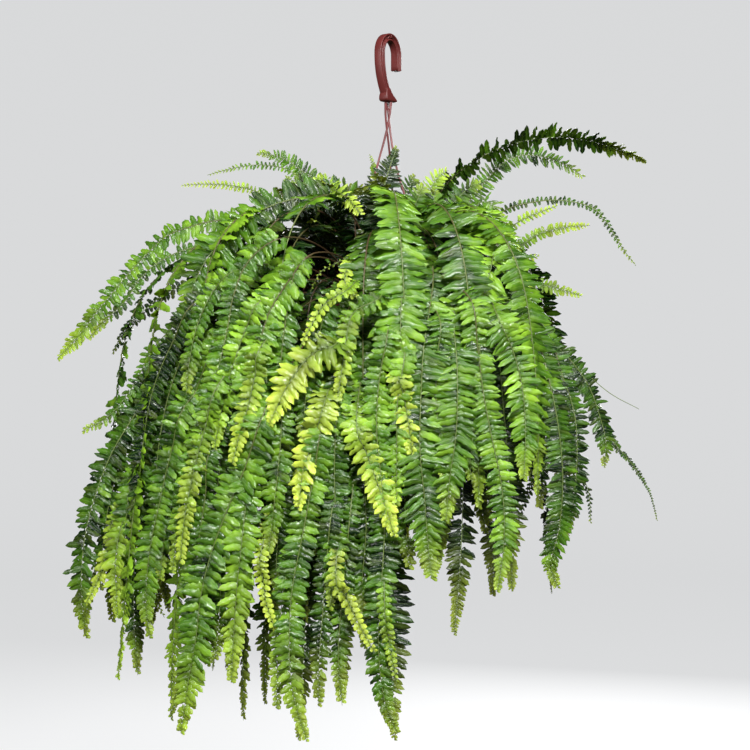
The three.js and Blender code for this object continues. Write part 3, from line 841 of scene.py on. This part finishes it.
def leaf_material():
    """Fern leaflet: green by a tone that carries painted shade and by clouds from dark to bright,
    yellowing with youth, with painted shade towards its foot by the midrib, a pale vein down the
    middle, forked side veins, a soft gloss, and light that comes through the blade. The side veins
    are a sine of the share of the reach less 0.45 times the distance from the middle."""
    material, tree, shader = new_material("leaf")
    tone = add_node(tree, "Attribute", {}, "Fac", attribute_name="tone")
    youth = add_node(tree, "Attribute", {}, "Fac", attribute_name="youth")
    depth = add_node(tree, "Math", {0: tone, 1: add_noise(tree, 38, 4)}, 0, operation="ADD")
    green = add_ramp(tree, depth, [
        (0.12, (0.004, 0.022, 0.002)), (0.5, (0.062, 0.172, 0.007)), (0.9, (0.280, 0.520, 0.030)),
    ])
    yellowed = {"Factor": youth, "A": green, "B": (0.56, 0.70, 0.07, 1)}
    blade = add_node(tree, "Mix", yellowed, "Result", data_type="RGBA")
    leaflet = add_node(tree, "UVMap", {}, "UV", uv_map="leaflet")
    out = add_node(tree, "SeparateXYZ", {"Vector": leaflet}, "X")
    across = add_node(tree, "SeparateXYZ", {"Vector": leaflet}, "Y")
    centred = add_node(tree, "Math", {0: across, 1: 0.5}, 0, operation="SUBTRACT")
    aside = add_node(tree, "Math", {0: centred}, 0, operation="ABSOLUTE")
    vein = add_node(tree, "MapRange", {
        "Value": aside, "From Min": 0.02, "From Max": 0.075, "To Min": 0.14, "To Max": 0.0,
    }, "Result")
    veined = {"Factor": vein, "A": blade, "B": (0.34, 0.50, 0.10, 1)}
    blade = add_node(tree, "Mix", veined, "Result", data_type="RGBA")
    # Painted shade: the leaflet is darkened at its foot by the midrib, and slightly brightened past
    # it.
    painted_foot_shade = add_node(tree, "MapRange", {
        "Value": out, "From Max": 0.42, "To Min": 0.7, "To Max": 1.1,
    }, "Result", clamp=True)
    shaded = {"Factor": 1, "A": blade, "B": painted_foot_shade}
    blade = add_node(tree, "Mix", shaded, "Result", data_type="RGBA", blend_type="MULTIPLY")
    slant = {0: aside, 1: -0.45, 2: out}
    slant = add_node(tree, "Math", slant, 0, operation="MULTIPLY_ADD")
    stripes = add_node(tree, "Math", {0: slant, 1: 95}, 0, operation="MULTIPLY")
    side_veins = add_node(tree, "Math", {0: stripes}, 0, operation="SINE")
    relief = {0: vein, 1: -2.0, 2: side_veins}
    relief = add_node(tree, "Math", relief, 0, operation="MULTIPLY_ADD")
    feed(tree, shader, {
        "Base Color": blade, "Roughness": 0.27, "Specular IOR Level": 0.75,
        "Normal": add_bump(tree, relief, 0.35, 0.0004),
    })
    glow = {"Factor": 1, "A": blade, "B": (1.7, 1.45, 0.7, 1)}
    glow = add_node(tree, "Mix", glow, "Result", data_type="RGBA", blend_type="MULTIPLY")
    through = add_node(tree, "BsdfTranslucent", {"Color": glow}, "BSDF")
    both = {"Fac": 0.16, 1: shader.outputs["BSDF"], 2: through}
    both = add_node(tree, "MixShader", both, "Shader")
    feed(tree, tree.nodes["Material Output"], {"Surface": both})
    return material


def stalk_material():
    """Frond stalk: dark brown and scaly near the crown, turning dull green towards the tip.
    What says how far along it is, plus flecks, drives the colour."""
    material, tree, shader = new_material("stalk")
    share = add_node(tree, "Attribute", {}, "Fac", attribute_name="youth")
    fleck = add_noise(tree, 420, 3)
    moved = {0: fleck, 1: 0.35, 2: share}
    moved = add_node(tree, "Math", moved, 0, operation="MULTIPLY_ADD")
    feed(tree, shader, {
        "Roughness": 0.5,
        "Base Color": add_ramp(tree, moved, [
            (0.2, (0.035, 0.014, 0.008)), (0.46, (0.075, 0.045, 0.018)),
            (0.8, (0.130, 0.185, 0.040)),
        ]),
        "Normal": add_bump(tree, fleck, 0.4, 0.0003),
    })
    return material


leaf = leaf_material()
stalk = stalk_material()

# These fronds have been pushed aside by others, so they pass other places than the arches above.
# Each row gives the leaflets' reach, youth, where along the frond youth sets in, the share where
# its taper starts, tone, which is the frond's own green moved down as painted shade where it lies
# in shade and up as painted light where it is lit, droop, and the places it passes, in millimetres.
NODE_ROUTES = {
    "frond_arching_2": (15, 0, 0.85, 0.78, -0.12, 0.6, (76, 30, -221), (103, 35, -184),
        (137, 38, -145), (162, 40, -132), (193, 42, -134), (218, 44, -143), (241, 46, -157)),
    "frond_arching_3": (6, -0.1, 0.8, 0.78, -0.35, 0.7, (107, -20, -234), (138, -25, -206),
        (170, -30, -197), (202, -35, -195), (237, -40, -203), (255, -42, -220), (273, -44, -250),
        (290, -45, -273)),
    "frond_arching_4": (9, 0.25, 0.3, 0.78, -0.08, 0.3, (113, 40, -269), (161, 55, -243),
        (190, 65, -225), (222, 72, -217), (253, 78, -214)),
    "frond_arching_5": (7, 0.3, 0.3, 0.78, 0.05, 0.5, (95, -60, -255), (137, -80, -232),
        (162, -90, -219), (192, -98, -208)),
    "frond_arching_6": (10, 0.15, 0.4, 0.78, -0.05, 0.7, (112, 20, -297), (151, 30, -287),
        (176, 35, -288), (202, 40, -293), (239, 45, -304)),
    "frond_arching_7": (7, 0.25, 0.1, 0.78, -0.1, 0.8, (-113, 20, -206), (-158, 28, -178),
        (-195, 34, -169), (-226, 40, -167), (-253, 44, -168)),
    "frond_arching_8": (6, 0.05, 0.7, 0.78, -0.15, 0.9, (-83, 50, -191), (-118, 60, -150),
        (-156, 66, -140), (-190, 72, -143), (-225, 78, -151)),
    "frond_arching_9": (14, 0, 0.85, 0.7, -0.22, 0.8, (-46, 40, -216), (-77, 50, -172),
        (-105, 58, -149), (-131, 64, -131), (-162, 70, -124)),
    "frond_arching_10": (18, 0.15, 0.7, 0.84, -0.2, 0.9, (-118, 0, -238), (-166, 5, -216),
        (-209, 10, -215), (-239, 12, -222), (-269, 14, -234), (-300, 16, -263), (-324, 17, -290),
        (-350, 18, -321), (-376, 19, -355), (-401, 20, -381)),
    "frond_arching_11": (11, -0.1, 1, 0.78, -0.42, 1.2, (-181, 40, -274), (-226, 55, -280),
        (-257, 62, -291), (-283, 68, -304), (-308, 72, -325), (-329, 75, -346), (-344, 77, -375)),
    "frond_arching_12": (13, 0, 0.85, 0.78, -0.2, 0.8, (-153, -10, -293), (-197, -20, -299),
        (-234, -28, -321), (-257, -33, -347), (-279, -37, -373), (-294, -40, -404),
        (-312, -42, -432), (-333, -44, -453), (-359, -46, -467)),
    "frond_middle_1": (18, 0, 0.9, 0.76, -0.35, 0.3, (132, -30, -288), (155, -35, -323),
        (169, -38, -371), (176, -40, -429), (178, -40, -488)),
    "frond_middle_13": (17, 0, 0.9, 0.76, -0.2, 0.3, (135, -60, -301), (168, -85, -354),
        (186, -100, -406), (192, -105, -462), (190, -105, -519)),
    "frond_middle_9": (18, 0, 0.9, 0.76, -0.2, 0.3, (-71, -150, -350), (-97, -190, -427),
        (-112, -200, -502), (-120, -200, -577), (-123, -195, -642)),
    "frond_outer_6": (19, 0, 0.9, 0.8, -0.02, 0.3, (-41, -170, -318), (-55, -215, -363),
        (-66, -235, -426), (-73, -238, -479), (-76, -235, -531), (-76, -232, -595)),
    "frond_outer_10": (15, 0, 0.9, 0.76, -0.35, 0.3, (153, -60, -336), (163, -80, -406),
        (170, -85, -463), (174, -88, -509), (173, -88, -552)),
    "frond_outer_11": (16, -0.1, 1, 0.28, -0.3, 0.4, (99, 5, -264), (141, 10, -291),
        (175, 14, -334), (208, 17, -375), (238, 20, -415), (258, 22, -450), (272, 24, -479),
        (297, 26, -509), (319, 28, -544), (328, 28, -578)),
}

CROWN_REACH = 0.06
BARE_RISE = 0.66
STANDING_RISE = 0.5
SMALL_REACH = 15
FULL_REACH = 20
RIGHT_SIDE_X = 0.035


def routed_frond(reach, youth, young_from, taper, tone, droop, *places):
    """A frond through given places. Its stalk comes up from the crown under its first place,
    and its leaflets start two thirds of the way there. Its face looks away from the plant's
    axis, towards the front and a little up. Small leaflets stand further apart in proportion,
    and a frond that still stands has narrow ones, set close."""
    path = np.array(places, float) / 1000
    outward = path[0] * (1, 1, 0)
    foot = outward * min(1, CROWN_REACH / (np.linalg.norm(outward) + 1e-9))
    foot = foot + (0, 0, crown_height(np.linalg.norm(foot)) - 0.002)
    rise = np.linalg.norm(path[0] - foot)
    halfway = (foot + path[0]) / 2 + (0, 0, 0.1 * rise)
    route = smooth_route(np.concatenate([foot[None], halfway[None], path]), 24)
    gone = np.concatenate([[0], np.cumsum(np.linalg.norm(np.diff(route, axis=0), axis=1))])
    length = gone[-1]
    shares = np.linspace(0, 1, STATIONS)
    points = np.stack([np.interp(shares * length, gone, route[:, k]) for k in range(3)], 1)
    along = np.gradient(points, axis=0)
    along /= np.linalg.norm(along, axis=1)[:, None]
    wanted = points * (1, 1, 0)
    wanted = wanted / (np.linalg.norm(wanted, axis=1)[:, None] + 0.05) * 0.9 + (0, -1.3, 0.3)
    face = wanted - along * np.einsum("ij,ij->i", wanted, along)[:, None]
    face /= np.linalg.norm(face, axis=1)[:, None]
    side = np.cross(face, along)
    stands = along[STATIONS // 2, 2] > STANDING_RISE
    own = {
        "bare": BARE_RISE * rise / length, "taper": taper, "youth": youth * 0.8,
        "young_from": 0.38 + 0.58 * young_from, "tone": tone, "droop": droop + 0.1,
        "lean": 12 if stands else 6, "point": 0.9 if reach > SMALL_REACH else 0.7,
        "spread": 1 + 0.9 * max(0, 1 - reach / FULL_REACH) - (0.35 if stands else 0),
    }
    if stands:
        own["broad"] = 0.6
    elif path[:, 0].mean() > RIGHT_SIDE_X:
        own["broad"] = CLOSE_BROAD
        own["spread"] *= CLOSE_SPREAD
    return (shares, points, along, side, face), length, reach / 1000, own


# Old fronds over the hollow left of the front have lost their lowest leaflets, and the layers
# further in are painted darker as painted shade.
BARE_SHARES = {"frond_outer_3": 0.18, "frond_outer_4": 0.2, "frond_outer_5": 0.24}
TIER_TONES_AND_SHADE = {"upright": 0, "arching": -0.08, "outer": -0.02, "middle": -0.24, "inner": -0.34}
frond_random = np.random.default_rng(21)
for tier, rows in FRONDS.items():
    for number, row in enumerate(rows):
        node = f"frond_{tier}_{number + 1}"
        bare = BARE_SHARES.get(node, 0.14 if tier == "outer" else 0.09)
        frond = arching_frond(row, frond_random, bare=bare, tone=TIER_TONES_AND_SHADE[tier])
        if node in NODE_ROUTES:
            frond = routed_frond(*NODE_ROUTES[node])
        piece = frond_piece(f"leafy_{node}", [frond], seed=1000 + 37 * number + len(tier))
        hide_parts(node)

# ---- fronds between ----
# More fronds of all ages fill the clump behind and between the large ones. Three layers go all
# round, from the outside in. The fourth stands short over the crown, and the last two thicken
# the back and the right side.

between_random = np.random.default_rng(77)
# Ranges of the foot's distance, the launch, the bend and the length, and the number of fronds.
BETWEEN = [
    ((20, 40), (50, 66), (215, 305), (380, 620), 16),
    ((40, 60), (42, 58), (170, 270), (330, 560), 16),
    ((60, 78), (28, 44), (100, 180), (260, 480), 16),
    ((8, 62), (56, 80), (240, 400), (85, 140), 30),
    ((30, 56), (46, 62), (190, 290), (360, 540), 30),
    ((44, 62), (34, 48), (110, 165), (300, 420), 26),
]
# The outer two leave out the right side and the hollow's bearing. Fronds are longest to the left
# of the front.
OPEN_LAYERS, STANDING_LAYER, BACK_LAYER, RIGHT_LAYER = 2, 3, 4, 5
HOLLOW_BEARING = 256
HOLLOW_OPENING = 0.92
RIGHT_OPENING = 0.8
LONGEST_BEARING = 205
LONGEST_SHARE = 0.22
BEARING_OFFSET = 8
# Painted shade: the fronds between the large ones are darkened by this much, as they lie in shade.
BETWEEN_PAINTED_SHADE = -0.4

for layer, (feet, launches, bends, lengths, layer_count) in enumerate(BETWEEN):
    between = []
    for k in range(layer_count):
        azimuth = (k + between_random.uniform(0.2, 0.8)) * 360 / layer_count
        rightward = math.cos(math.radians(azimuth + BEARING_OFFSET))
        backward = math.sin(math.radians(azimuth + BEARING_OFFSET))
        over_hollow = math.cos(math.radians(azimuth - HOLLOW_BEARING)) > HOLLOW_OPENING
        left_out = (
            (layer < OPEN_LAYERS and (rightward > RIGHT_OPENING or over_hollow))
            or (layer == BACK_LAYER and backward < 0.35)
            or (layer == RIGHT_LAYER and rightward < 0.5)
        )
        if left_out:
            continue
        longer = 1 + LONGEST_SHARE * math.cos(math.radians(azimuth - LONGEST_BEARING))
        hangs = (-20, 40) if layer == STANDING_LAYER else (78, 88)
        row = [
            azimuth, between_random.uniform(*feet), between_random.uniform(*launches),
            between_random.uniform(*hangs), between_random.uniform(*bends),
            between_random.uniform(*lengths) * longer, between_random.normal(0, 25),
            between_random.normal(0, 20), between_random.uniform(42, 54),
        ]
        between.append(arching_frond(row, between_random))
    for part in range(2):
        name = f"between_fronds_{layer + 1}_{part + 1}"
        frond_piece(name, between[part::2], seed=500 + 10 * layer + part, tone=BETWEEN_PAINTED_SHADE)

# ---- fronds on top and in front ----
# The last fronds to unroll lie over the others, some still short, upright or yellow-green. One
# on the right is a dried stalk that has lost its leaflets. Rows are as the ones of NODE_ROUTES.

ROUTES = {
    "top": [
        (31, -0.1, 1, 0.5, -0.4, 0.5, (-13, -25, -266), (-12, -32, -231), (-9, -36, -198),
         (-1, -36, -165), (10, -32, -132)),
        (18, 0.1, 0.9, 0.82, -0.1, 0.6, (-31, -20, -246), (-36, -30, -217), (-41, -38, -194),
         (-48, -42, -178)),
        (19, 0.15, 0.8, 0.82, 0.05, 0.5, (18, -40, -241), (25, -52, -217), (34, -56, -196),
         (41, -56, -180)),
        (16, 0, 0.9, 0.82, -0.1, 0.6, (60, -50, -242), (55, -58, -214), (53, -60, -197),
         (55, -60, -185)),
        (16, 0.05, 0.9, 0.82, -0.2, 0.5, (5, -5, -232), (13, -10, -203), (24, -10, -179),
         (33, -10, -162)),
        (14, 0.12, 0.5, 0.82, 0, 0.3, (42, -40, -241), (42, -40, -212), (47, -38, -188),
         (57, -35, -170), (71, -30, -159)),
        (16, 0.05, 0.8, 0.82, 0, 0.5, (62, -10, -233), (76, -10, -201), (91, -10, -182),
         (112, -8, -171)),
        (10, 0.5, 0.3, 0.82, 0.3, 0.3, (13, -80, -216), (33, -100, -223), (50, -110, -233),
         (62, -118, -242)),
        (14, 0.5, 0.3, 0.82, 0.3, 0.3, (-82, -50, -184), (-64, -85, -188), (-46, -110, -202),
         (-32, -125, -220)),
        (17, 0.1, 0.7, 0.82, 0.05, 0.5, (-28, -10, -233), (-43, -15, -198), (-63, -10, -179),
         (-87, -5, -164)),
        (18, 0.05, 0.8, 0.82, -0.1, 0.5, (-46, 30, -229), (-71, 35, -192), (-101, 40, -167),
         (-126, 45, -160)),
        (18, 0, 0.8, 0.82, -0.1, 0.6, (15, 40, -228), (40, 45, -191), (71, 50, -178),
         (102, 55, -184)),
        (14, 0.1, 0.7, 0.82, 0.1, 0.5, (87, -40, -227), (105, -50, -201), (120, -60, -202),
         (131, -70, -223)),
        (3, 0.3, 0.1, 0.82, 0.2, 0.4, (-37, -140, -269), (-60, -150, -278), (-76, -155, -288),
         (-87, -155, -309)),
    ],
    "left": [
        (28, 0, 0.85, 0.82, 0.05, 0.25, (-44, -70, -197), (-87, -95, -197), (-129, -110, -208),
         (-158, -125, -226), (-182, -130, -247), (-202, -135, -270), (-217, -138, -300),
         (-226, -140, -337)),
        (11, 0.05, 0.8, 0.82, -0.22, 0.9, (-158, -20, -237), (-206, -20, -246), (-241, -20, -252),
         (-271, -20, -266), (-295, -20, -287), (-312, -20, -313), (-337, -20, -337),
         (-356, -20, -358)),
        (17, 0.05, 0.85, 0.82, 0.1, 0.3, (-111, -224, -255), (-148, -222, -278), (-165, -223, -315),
         (-172, -222, -352), (-182, -220, -395), (-193, -217, -437), (-206, -212, -480),
         (-218, -207, -523), (-227, -201, -566), (-234, -197, -615)),
        (14, 0.5, 0.3, 0.82, 0.05, 0.2, (-133, -249, -369), (-141, -249, -403), (-149, -247, -437),
         (-157, -246, -463), (-165, -244, -494)),
        (22, -0.05, 0.8, 0.82, -0.22, 0.3, (-254, -40, -382), (-296, -50, -447), (-323, -55, -493),
         (-343, -55, -546), (-355, -55, -598), (-358, -55, -656), (-352, -55, -708)),
        (13, 0.45, 0.3, 0.82, 0, 0.3, (-308, -70, -550), (-321, -75, -596), (-334, -80, -636),
         (-348, -80, -664)),
        (19, 0.25, 0.5, 0.82, 0.05, 0.25, (-274, -80, -492), (-299, -85, -549), (-312, -90, -606),
         (-311, -90, -657), (-309, -90, -680)),
        (18, 0, 0.85, 0.82, -0.22, 0.25, (-264, -90, -451), (-277, -95, -520), (-287, -95, -588),
         (-291, -95, -645), (-289, -95, -702), (-286, -95, -743)),
        (9, 0.1, 0.7, 0.82, -0.1, 0.4, (-254, -80, -498), (-266, -80, -549), (-278, -80, -595),
         (-275, -80, -633)),
        (7, 0.1, 0.7, 0.82, -0.1, 0.6, (-243, -100, -553), (-255, -100, -610), (-266, -100, -647),
         (-255, -100, -677)),
        (14, 0.4, 0.35, 0.82, 0.05, 0.3, (-177, -227, -405), (-196, -221, -458), (-209, -216, -506),
         (-219, -211, -555), (-224, -208, -603)),
        (14, 0, 0.8, 0.82, -0.1, 0.4, (-159, -214, -288), (-187, -206, -309), (-206, -199, -346),
         (-215, -196, -384), (-219, -195, -422)),
        (16, 0, 0.9, 0.82, -0.3, 0.4, (-207, -173, -318), (-240, -152, -367), (-265, -131, -422),
         (-277, -121, -484), (-283, -115, -541), (-288, -108, -598)),
        (15, 0, 0.9, 0.82, -0.35, 0.4, (-191, -168, -307), (-220, -152, -361), (-244, -135, -417),
         (-257, -125, -473), (-263, -120, -529), (-267, -115, -586), (-262, -121, -642)),
        (15, 0, 0.9, 0.82, -0.2, 0.4, (-177, -197, -352), (-205, -184, -405), (-224, -175, -460),
         (-238, -167, -515), (-246, -160, -570), (-253, -155, -626)),
        (14, 0, 0.9, 0.82, -0.4, 0.5, (-217, -131, -339), (-263, -79, -383), (-298, -35, -429),
         (-318, -36, -488), (-325, -36, -547), (-330, -36, -618), (-325, -36, -691)),
        (18, 0.05, 0.8, 0.82, -0.2, 0.3, (-172, -190, -427), (-181, -188, -481), (-190, -184, -557),
         (-197, -180, -623), (-200, -178, -688), (-197, -180, -718)),
        (19, 0, 0.85, 0.82, -0.15, 0.3, (-216, -185, -427), (-237, -174, -482), (-251, -164, -537),
         (-264, -153, -593), (-269, -149, -649), (-264, -153, -692)),
        (17, 0.1, 0.75, 0.82, -0.05, 0.25, (-186, -214, -469), (-197, -210, -533),
         (-207, -205, -598), (-214, -201, -663), (-219, -199, -717), (-235, -188, -764)),
        (19, 0, 0.85, 0.82, -0.2, 0.3, (-281, -30, -430), (-305, -45, -476), (-322, -55, -534),
         (-331, -60, -592), (-335, -60, -650)),
        (17, 0, 0.85, 0.82, -0.25, 0.3, (-248, -60, -417), (-275, -75, -463), (-294, -85, -520),
         (-301, -90, -577), (-300, -90, -634), (-295, -90, -674)),
        (16, 0.05, 0.8, 0.82, -0.1, 0.3, (-175, -215, -533), (-179, -214, -597), (-181, -213, -650),
         (-185, -211, -693), (-190, -209, -713)),
        (17, 0, 0.85, 0.82, -0.3, 0.3, (-257, -39, -488), (-269, -32, -547), (-269, -32, -606),
         (-263, -32, -654), (-260, -32, -680)),
    ],
    "front": [
        (34, 0.05, 0.9, 0.82, 0.2, 0.15, (-3, -75, -214), (1, -125, -235), (5, -170, -263),
         (8, -215, -304), (9, -245, -345), (11, -255, -392)),
        (29, 0, 0.9, 0.82, 0.1, 0.2, (16, -40, -200), (30, -100, -222), (42, -155, -255),
         (47, -200, -293), (42, -228, -331), (35, -252, -374), (32, -254, -426), (31, -255, -478),
         (36, -255, -530), (39, -255, -571), (43, -255, -612)),
        (24, 0.05, 0.9, 0.82, 0.2, 0.2, (106, -60, -214), (93, -130, -258), (77, -190, -297),
         (68, -228, -342), (70, -252, -395), (69, -255, -457), (62, -255, -509), (58, -255, -553)),
        (29, 0, 0.9, 0.82, 0.15, 0.2, (90, -40, -204), (109, -95, -220), (117, -140, -247),
         (112, -178, -277), (103, -205, -307), (89, -228, -347)),
        (22, 0, 0.9, 0.82, 0.1, 0.2, (88, -70, -244), (103, -140, -289), (112, -238, -337),
         (129, -234, -374), (139, -232, -411), (143, -232, -458), (141, -234, -510)),
        (18, 0, 0.85, 0.82, 0.05, 0.2, (84, -243, -321), (92, -243, -374), (98, -243, -421),
         (107, -242, -468), (116, -241, -510), (120, -240, -552), (118, -240, -594),
         (112, -242, -628)),
        (27, 0, 0.9, 0.82, 0.15, 0.2, (13, -225, -289), (12, -245, -322), (11, -255, -353),
         (12, -255, -397)),
        (14, 0.6, 0.1, 0.82, 0.05, 0.15, (8, -255, -395), (15, -255, -426), (20, -255, -457),
         (23, -255, -485)),
        (18, 0.65, 0.2, 0.82, 0.02, 0.15, (-35, -255, -447), (-24, -255, -483), (-9, -255, -525),
         (5, -255, -569)),
        (18, 0.75, 0.1, 0.82, 0.02, 0.15, (-67, -255, -426), (-78, -255, -465), (-90, -255, -499),
         (-95, -255, -540)),
        (22, 0.7, 0.25, 0.82, 0.05, 0.15, (-54, -255, -366), (-80, -255, -378), (-99, -255, -400),
         (-113, -255, -424), (-125, -255, -451)),
        (8, 0.4, 0.2, 0.82, 0.1, 0.3, (-44, -255, -312), (-67, -255, -326), (-81, -254, -348),
         (-94, -253, -372)),
        (12, 0.3, 0.4, 0.82, 0.08, 0.2, (-10, -255, -320), (-38, -255, -336), (-46, -255, -366),
         (-50, -255, -395), (-55, -255, -428)),
        (10, 0.5, 0.1, 0.82, 0.1, 0.2, (-40, -195, -278), (-48, -215, -301), (-34, -225, -321)),
        (16, 0.05, 0.9, 0.82, 0.1, 0.2, (-2, -253, -353), (-11, -255, -405), (-14, -255, -457),
         (-9, -255, -509), (-4, -255, -556)),
        (14, 0, 0.9, 0.82, 0.1, 0.2, (15, -255, -376), (8, -255, -426), (7, -255, -478),
         (7, -255, -535)),
        (21, 0.2, 0.7, 0.82, 0.05, 0.25, (-82, -240, -274), (-105, -242, -301), (-126, -240, -334),
         (-137, -238, -369), (-147, -236, -411), (-150, -237, -458), (-149, -239, -510),
         (-154, -237, -563), (-160, -235, -616), (-164, -234, -668), (-167, -232, -725)),
        (23, 0.1, 0.75, 0.82, 0, 0.3, (-127, -245, -431), (-152, -240, -498), (-173, -233, -547),
         (-191, -225, -596), (-201, -220, -639), (-206, -218, -682), (-214, -214, -725),
         (-223, -209, -783)),
        (10, 0.6, 0.2, 0.82, 0, 0.2, (-132, -237, -573), (-133, -237, -615), (-129, -238, -643),
         (-119, -241, -670)),
        (18, 0.15, 0.7, 0.82, -0.05, 0.25, (-69, -253, -447), (-80, -253, -509), (-92, -251, -572),
         (-102, -249, -624), (-105, -249, -676), (-102, -249, -728), (-87, -252, -781)),
        (13, 0.1, 0.7, 0.82, -0.05, 0.25, (-105, -238, -594), (-114, -236, -647),
         (-118, -235, -700), (-119, -235, -752)),
        (14, 0.05, 0.8, 0.82, -0.1, 0.25, (-59, -246, -531), (-66, -245, -593), (-70, -245, -646),
         (-74, -244, -698), (-75, -244, -746)),
        (13, 0.05, 0.8, 0.82, -0.15, 0.35, (-40, -242, -531), (-46, -242, -594), (-52, -241, -657),
         (-54, -241, -699), (-50, -241, -747)),
        (10, 0.6, 0.2, 0.82, 0, 0.2, (-56, -255, -597), (-45, -255, -632), (-31, -255, -662),
         (-15, -255, -690)),
        (9, 0.15, 0.6, 0.82, 0.1, 0.2, (-6, -246, -625), (-1, -246, -677), (7, -246, -723)),
        (18, -0.05, 0.9, 0.82, -0.3, 0.3, (-17, -239, -426), (-6, -242, -510), (-6, -242, -573),
         (-10, -242, -636), (-12, -242, -688), (-6, -242, -740), (8, -242, -777)),
        (17, 0.05, 0.85, 0.82, 0.1, 0.25, (-94, -236, -281), (-105, -240, -321), (-112, -240, -363),
         (-115, -241, -405), (-113, -243, -447), (-117, -244, -499), (-123, -242, -552),
         (-128, -241, -594)),
        (17, 0, 0.9, 0.82, 0, 0.25, (-47, -244, -342), (-52, -246, -395), (-56, -247, -447),
         (-58, -248, -499), (-57, -249, -551), (-58, -248, -603), (-63, -248, -645)),
        (17, 0, 0.9, 0.82, 0, 0.25, (-63, -245, -322), (-75, -245, -363), (-86, -245, -405),
         (-90, -246, -447), (-94, -246, -468)),
        (16, 0.1, 0.8, 0.82, 0.1, 0.25, (-134, -234, -321), (-152, -230, -353), (-167, -226, -395),
         (-178, -224, -437), (-186, -222, -480)),
        (16, 0, 0.9, 0.82, 0.05, 0.25, (52, -247, -343), (49, -249, -384), (48, -251, -426),
         (52, -252, -468), (56, -252, -509)),
        (16, 0, 0.9, 0.82, 0.05, 0.25, (89, -236, -353), (95, -237, -405), (90, -240, -447),
         (84, -243, -489), (86, -242, -515)),
        (16, 0, 0.9, 0.82, -0.2, 0.25, (-29, -233, -447), (-27, -235, -510), (-25, -235, -563),
         (-29, -235, -616), (-29, -235, -658)),
        (15, 0, 0.9, 0.82, -0.2, 0.25, (13, -234, -458), (15, -236, -510), (17, -236, -563),
         (21, -235, -603)),
    ],
    "right": [
        (10, 0.45, 0.2, 0.82, 0.25, 0.5, (130, -50, -221), (144, -60, -243), (151, -65, -273),
         (158, -68, -302), (165, -70, -339)),
        (20, 0, 0.9, 0.82, 0, 0.25, (130, -60, -269), (150, -95, -317), (169, -120, -366),
         (182, -135, -422), (190, -140, -472), (193, -140, -522), (189, -140, -572),
         (180, -138, -611), (188, -138, -637)),
        (0, 0, 0.9, 0.82, -0.1, 0.3, (179, -30, -350), (221, -30, -387), (260, -30, -421),
         (296, -30, -441)),
        (17, 0, 0.9, 0.82, -0.25, 0.3, (144, -30, -317), (178, -40, -349), (211, -40, -380),
         (235, -35, -412), (249, -30, -447), (257, -30, -479), (255, -30, -509)),
        (6, -0.1, 1, 0.82, -0.5, 0.6, (199, -60, -446), (213, -60, -481), (224, -60, -513),
         (233, -60, -539), (235, -60, -573)),
        (7, -0.1, 1, 0.82, -0.4, 0.6, (177, -110, -485), (164, -110, -519), (153, -110, -547),
         (145, -110, -568)),
        (7, 0.2, 0.5, 0.82, 0, 0.5, (136, -50, -275), (156, -50, -266), (176, -50, -262)),
        (21, 0, 0.9, 0.82, 0.1, 0.25, (107, -20, -225), (135, -50, -260), (152, -75, -302),
         (165, -95, -349), (172, -110, -394), (174, -115, -451), (170, -118, -496)),
        (17, 0, 0.9, 0.82, -0.1, 0.3, (181, -70, -354), (199, -80, -400), (213, -85, -446),
         (216, -85, -497), (211, -85, -549), (202, -85, -589)),
    ],
}
GROUP_BROAD = {"top": 0.84, "left": 1.0, "front": 1.06, "right": 0.92}

for group, routes in ROUTES.items():
    for part in range(2):
        laid = [routed_frond(*route) for route in routes[part::2]]
        frond_piece(
            f"{group}_fronds_{part + 1}", laid, seed=900 + 10 * part + len(group),
            broad=GROUP_BROAD[group],
        )

# ---- light and floor ----
# A pale studio sweep all round, a faint even sky and five square lamps: the key lamp in front
# and above, weaker ones above the plant and at both sides, and one behind for the far side.

FLOOR_Z = -1.25
SWEEP_RADIUS = 7.0
SWEEP_SIDES = 64
bend = np.linspace(0, math.pi / 2, 14)
sweep_profile = [(0.001, FLOOR_Z), (1.5, FLOOR_Z), (3.5, FLOOR_Z)]
sweep_profile += [(SWEEP_RADIUS - 2 + 2 * math.sin(a), FLOOR_Z + 2 - 2 * math.cos(a)) for a in bend]
sweep_profile += [(SWEEP_RADIUS, 6.0)]
sweep, sweep_tree, sweep_shader = new_material("pale_sweep")
feed(sweep_tree, sweep_shader, {
    "Base Color": (0.24, 0.24, 0.24, 1), "Roughness": 0.9,
    "Emission Color": (0.98, 0.99, 1, 1), "Emission Strength": 0.66,
})
floor = new_piece(
    "floor", turned(sweep_profile, SWEEP_SIDES).reshape(-1, 3),
    grid_faces(len(sweep_profile), SWEEP_SIDES, True)[:, ::-1], [sweep],
)
floor.visible_diffuse = False
floor.visible_glossy = False
floor.visible_transmission = False
floor.visible_shadow = False

world = bpy.data.worlds.new("sky")
world.use_nodes = True
world.node_tree.nodes["Background"].inputs["Color"].default_value = (0.93, 0.96, 1.0, 1)
world.node_tree.nodes["Background"].inputs["Strength"].default_value = 0.05
bpy.context.scene.world = world

# Each lamp's name, place, size and power. All are turned towards the middle of the plant.
LAMPS = [
    ("key_lamp", (0.2, -2.1, 1.0), 0.36, 92),
    ("top_lamp", (0.4, -0.6, 1.9), 0.9, 12),
    ("left_lamp", (-1.7, -1.5, 0.2), 0.7, 21),
    ("right_lamp", (1.6, -1.6, 0.1), 0.5, 14),
    ("back_lamp", (0.7, 2.3, 0.2), 1.2, 64),
]
LAMP_AIM = Vector((0, 0, -0.35))
for name, spot, size, power in LAMPS:
    lamp_data = bpy.data.lights.new(name, "AREA")
    lamp_data.size = size
    lamp_data.energy = power
    lamp = bpy.data.objects.new(name, lamp_data)
    lamp.location = spot
    lamp.visible_camera = False
    aim = LAMP_AIM - Vector(spot)
    lamp.rotation_euler = aim.to_track_quat("-Z", "Y").to_euler()
    bpy.context.scene.collection.objects.link(lamp)
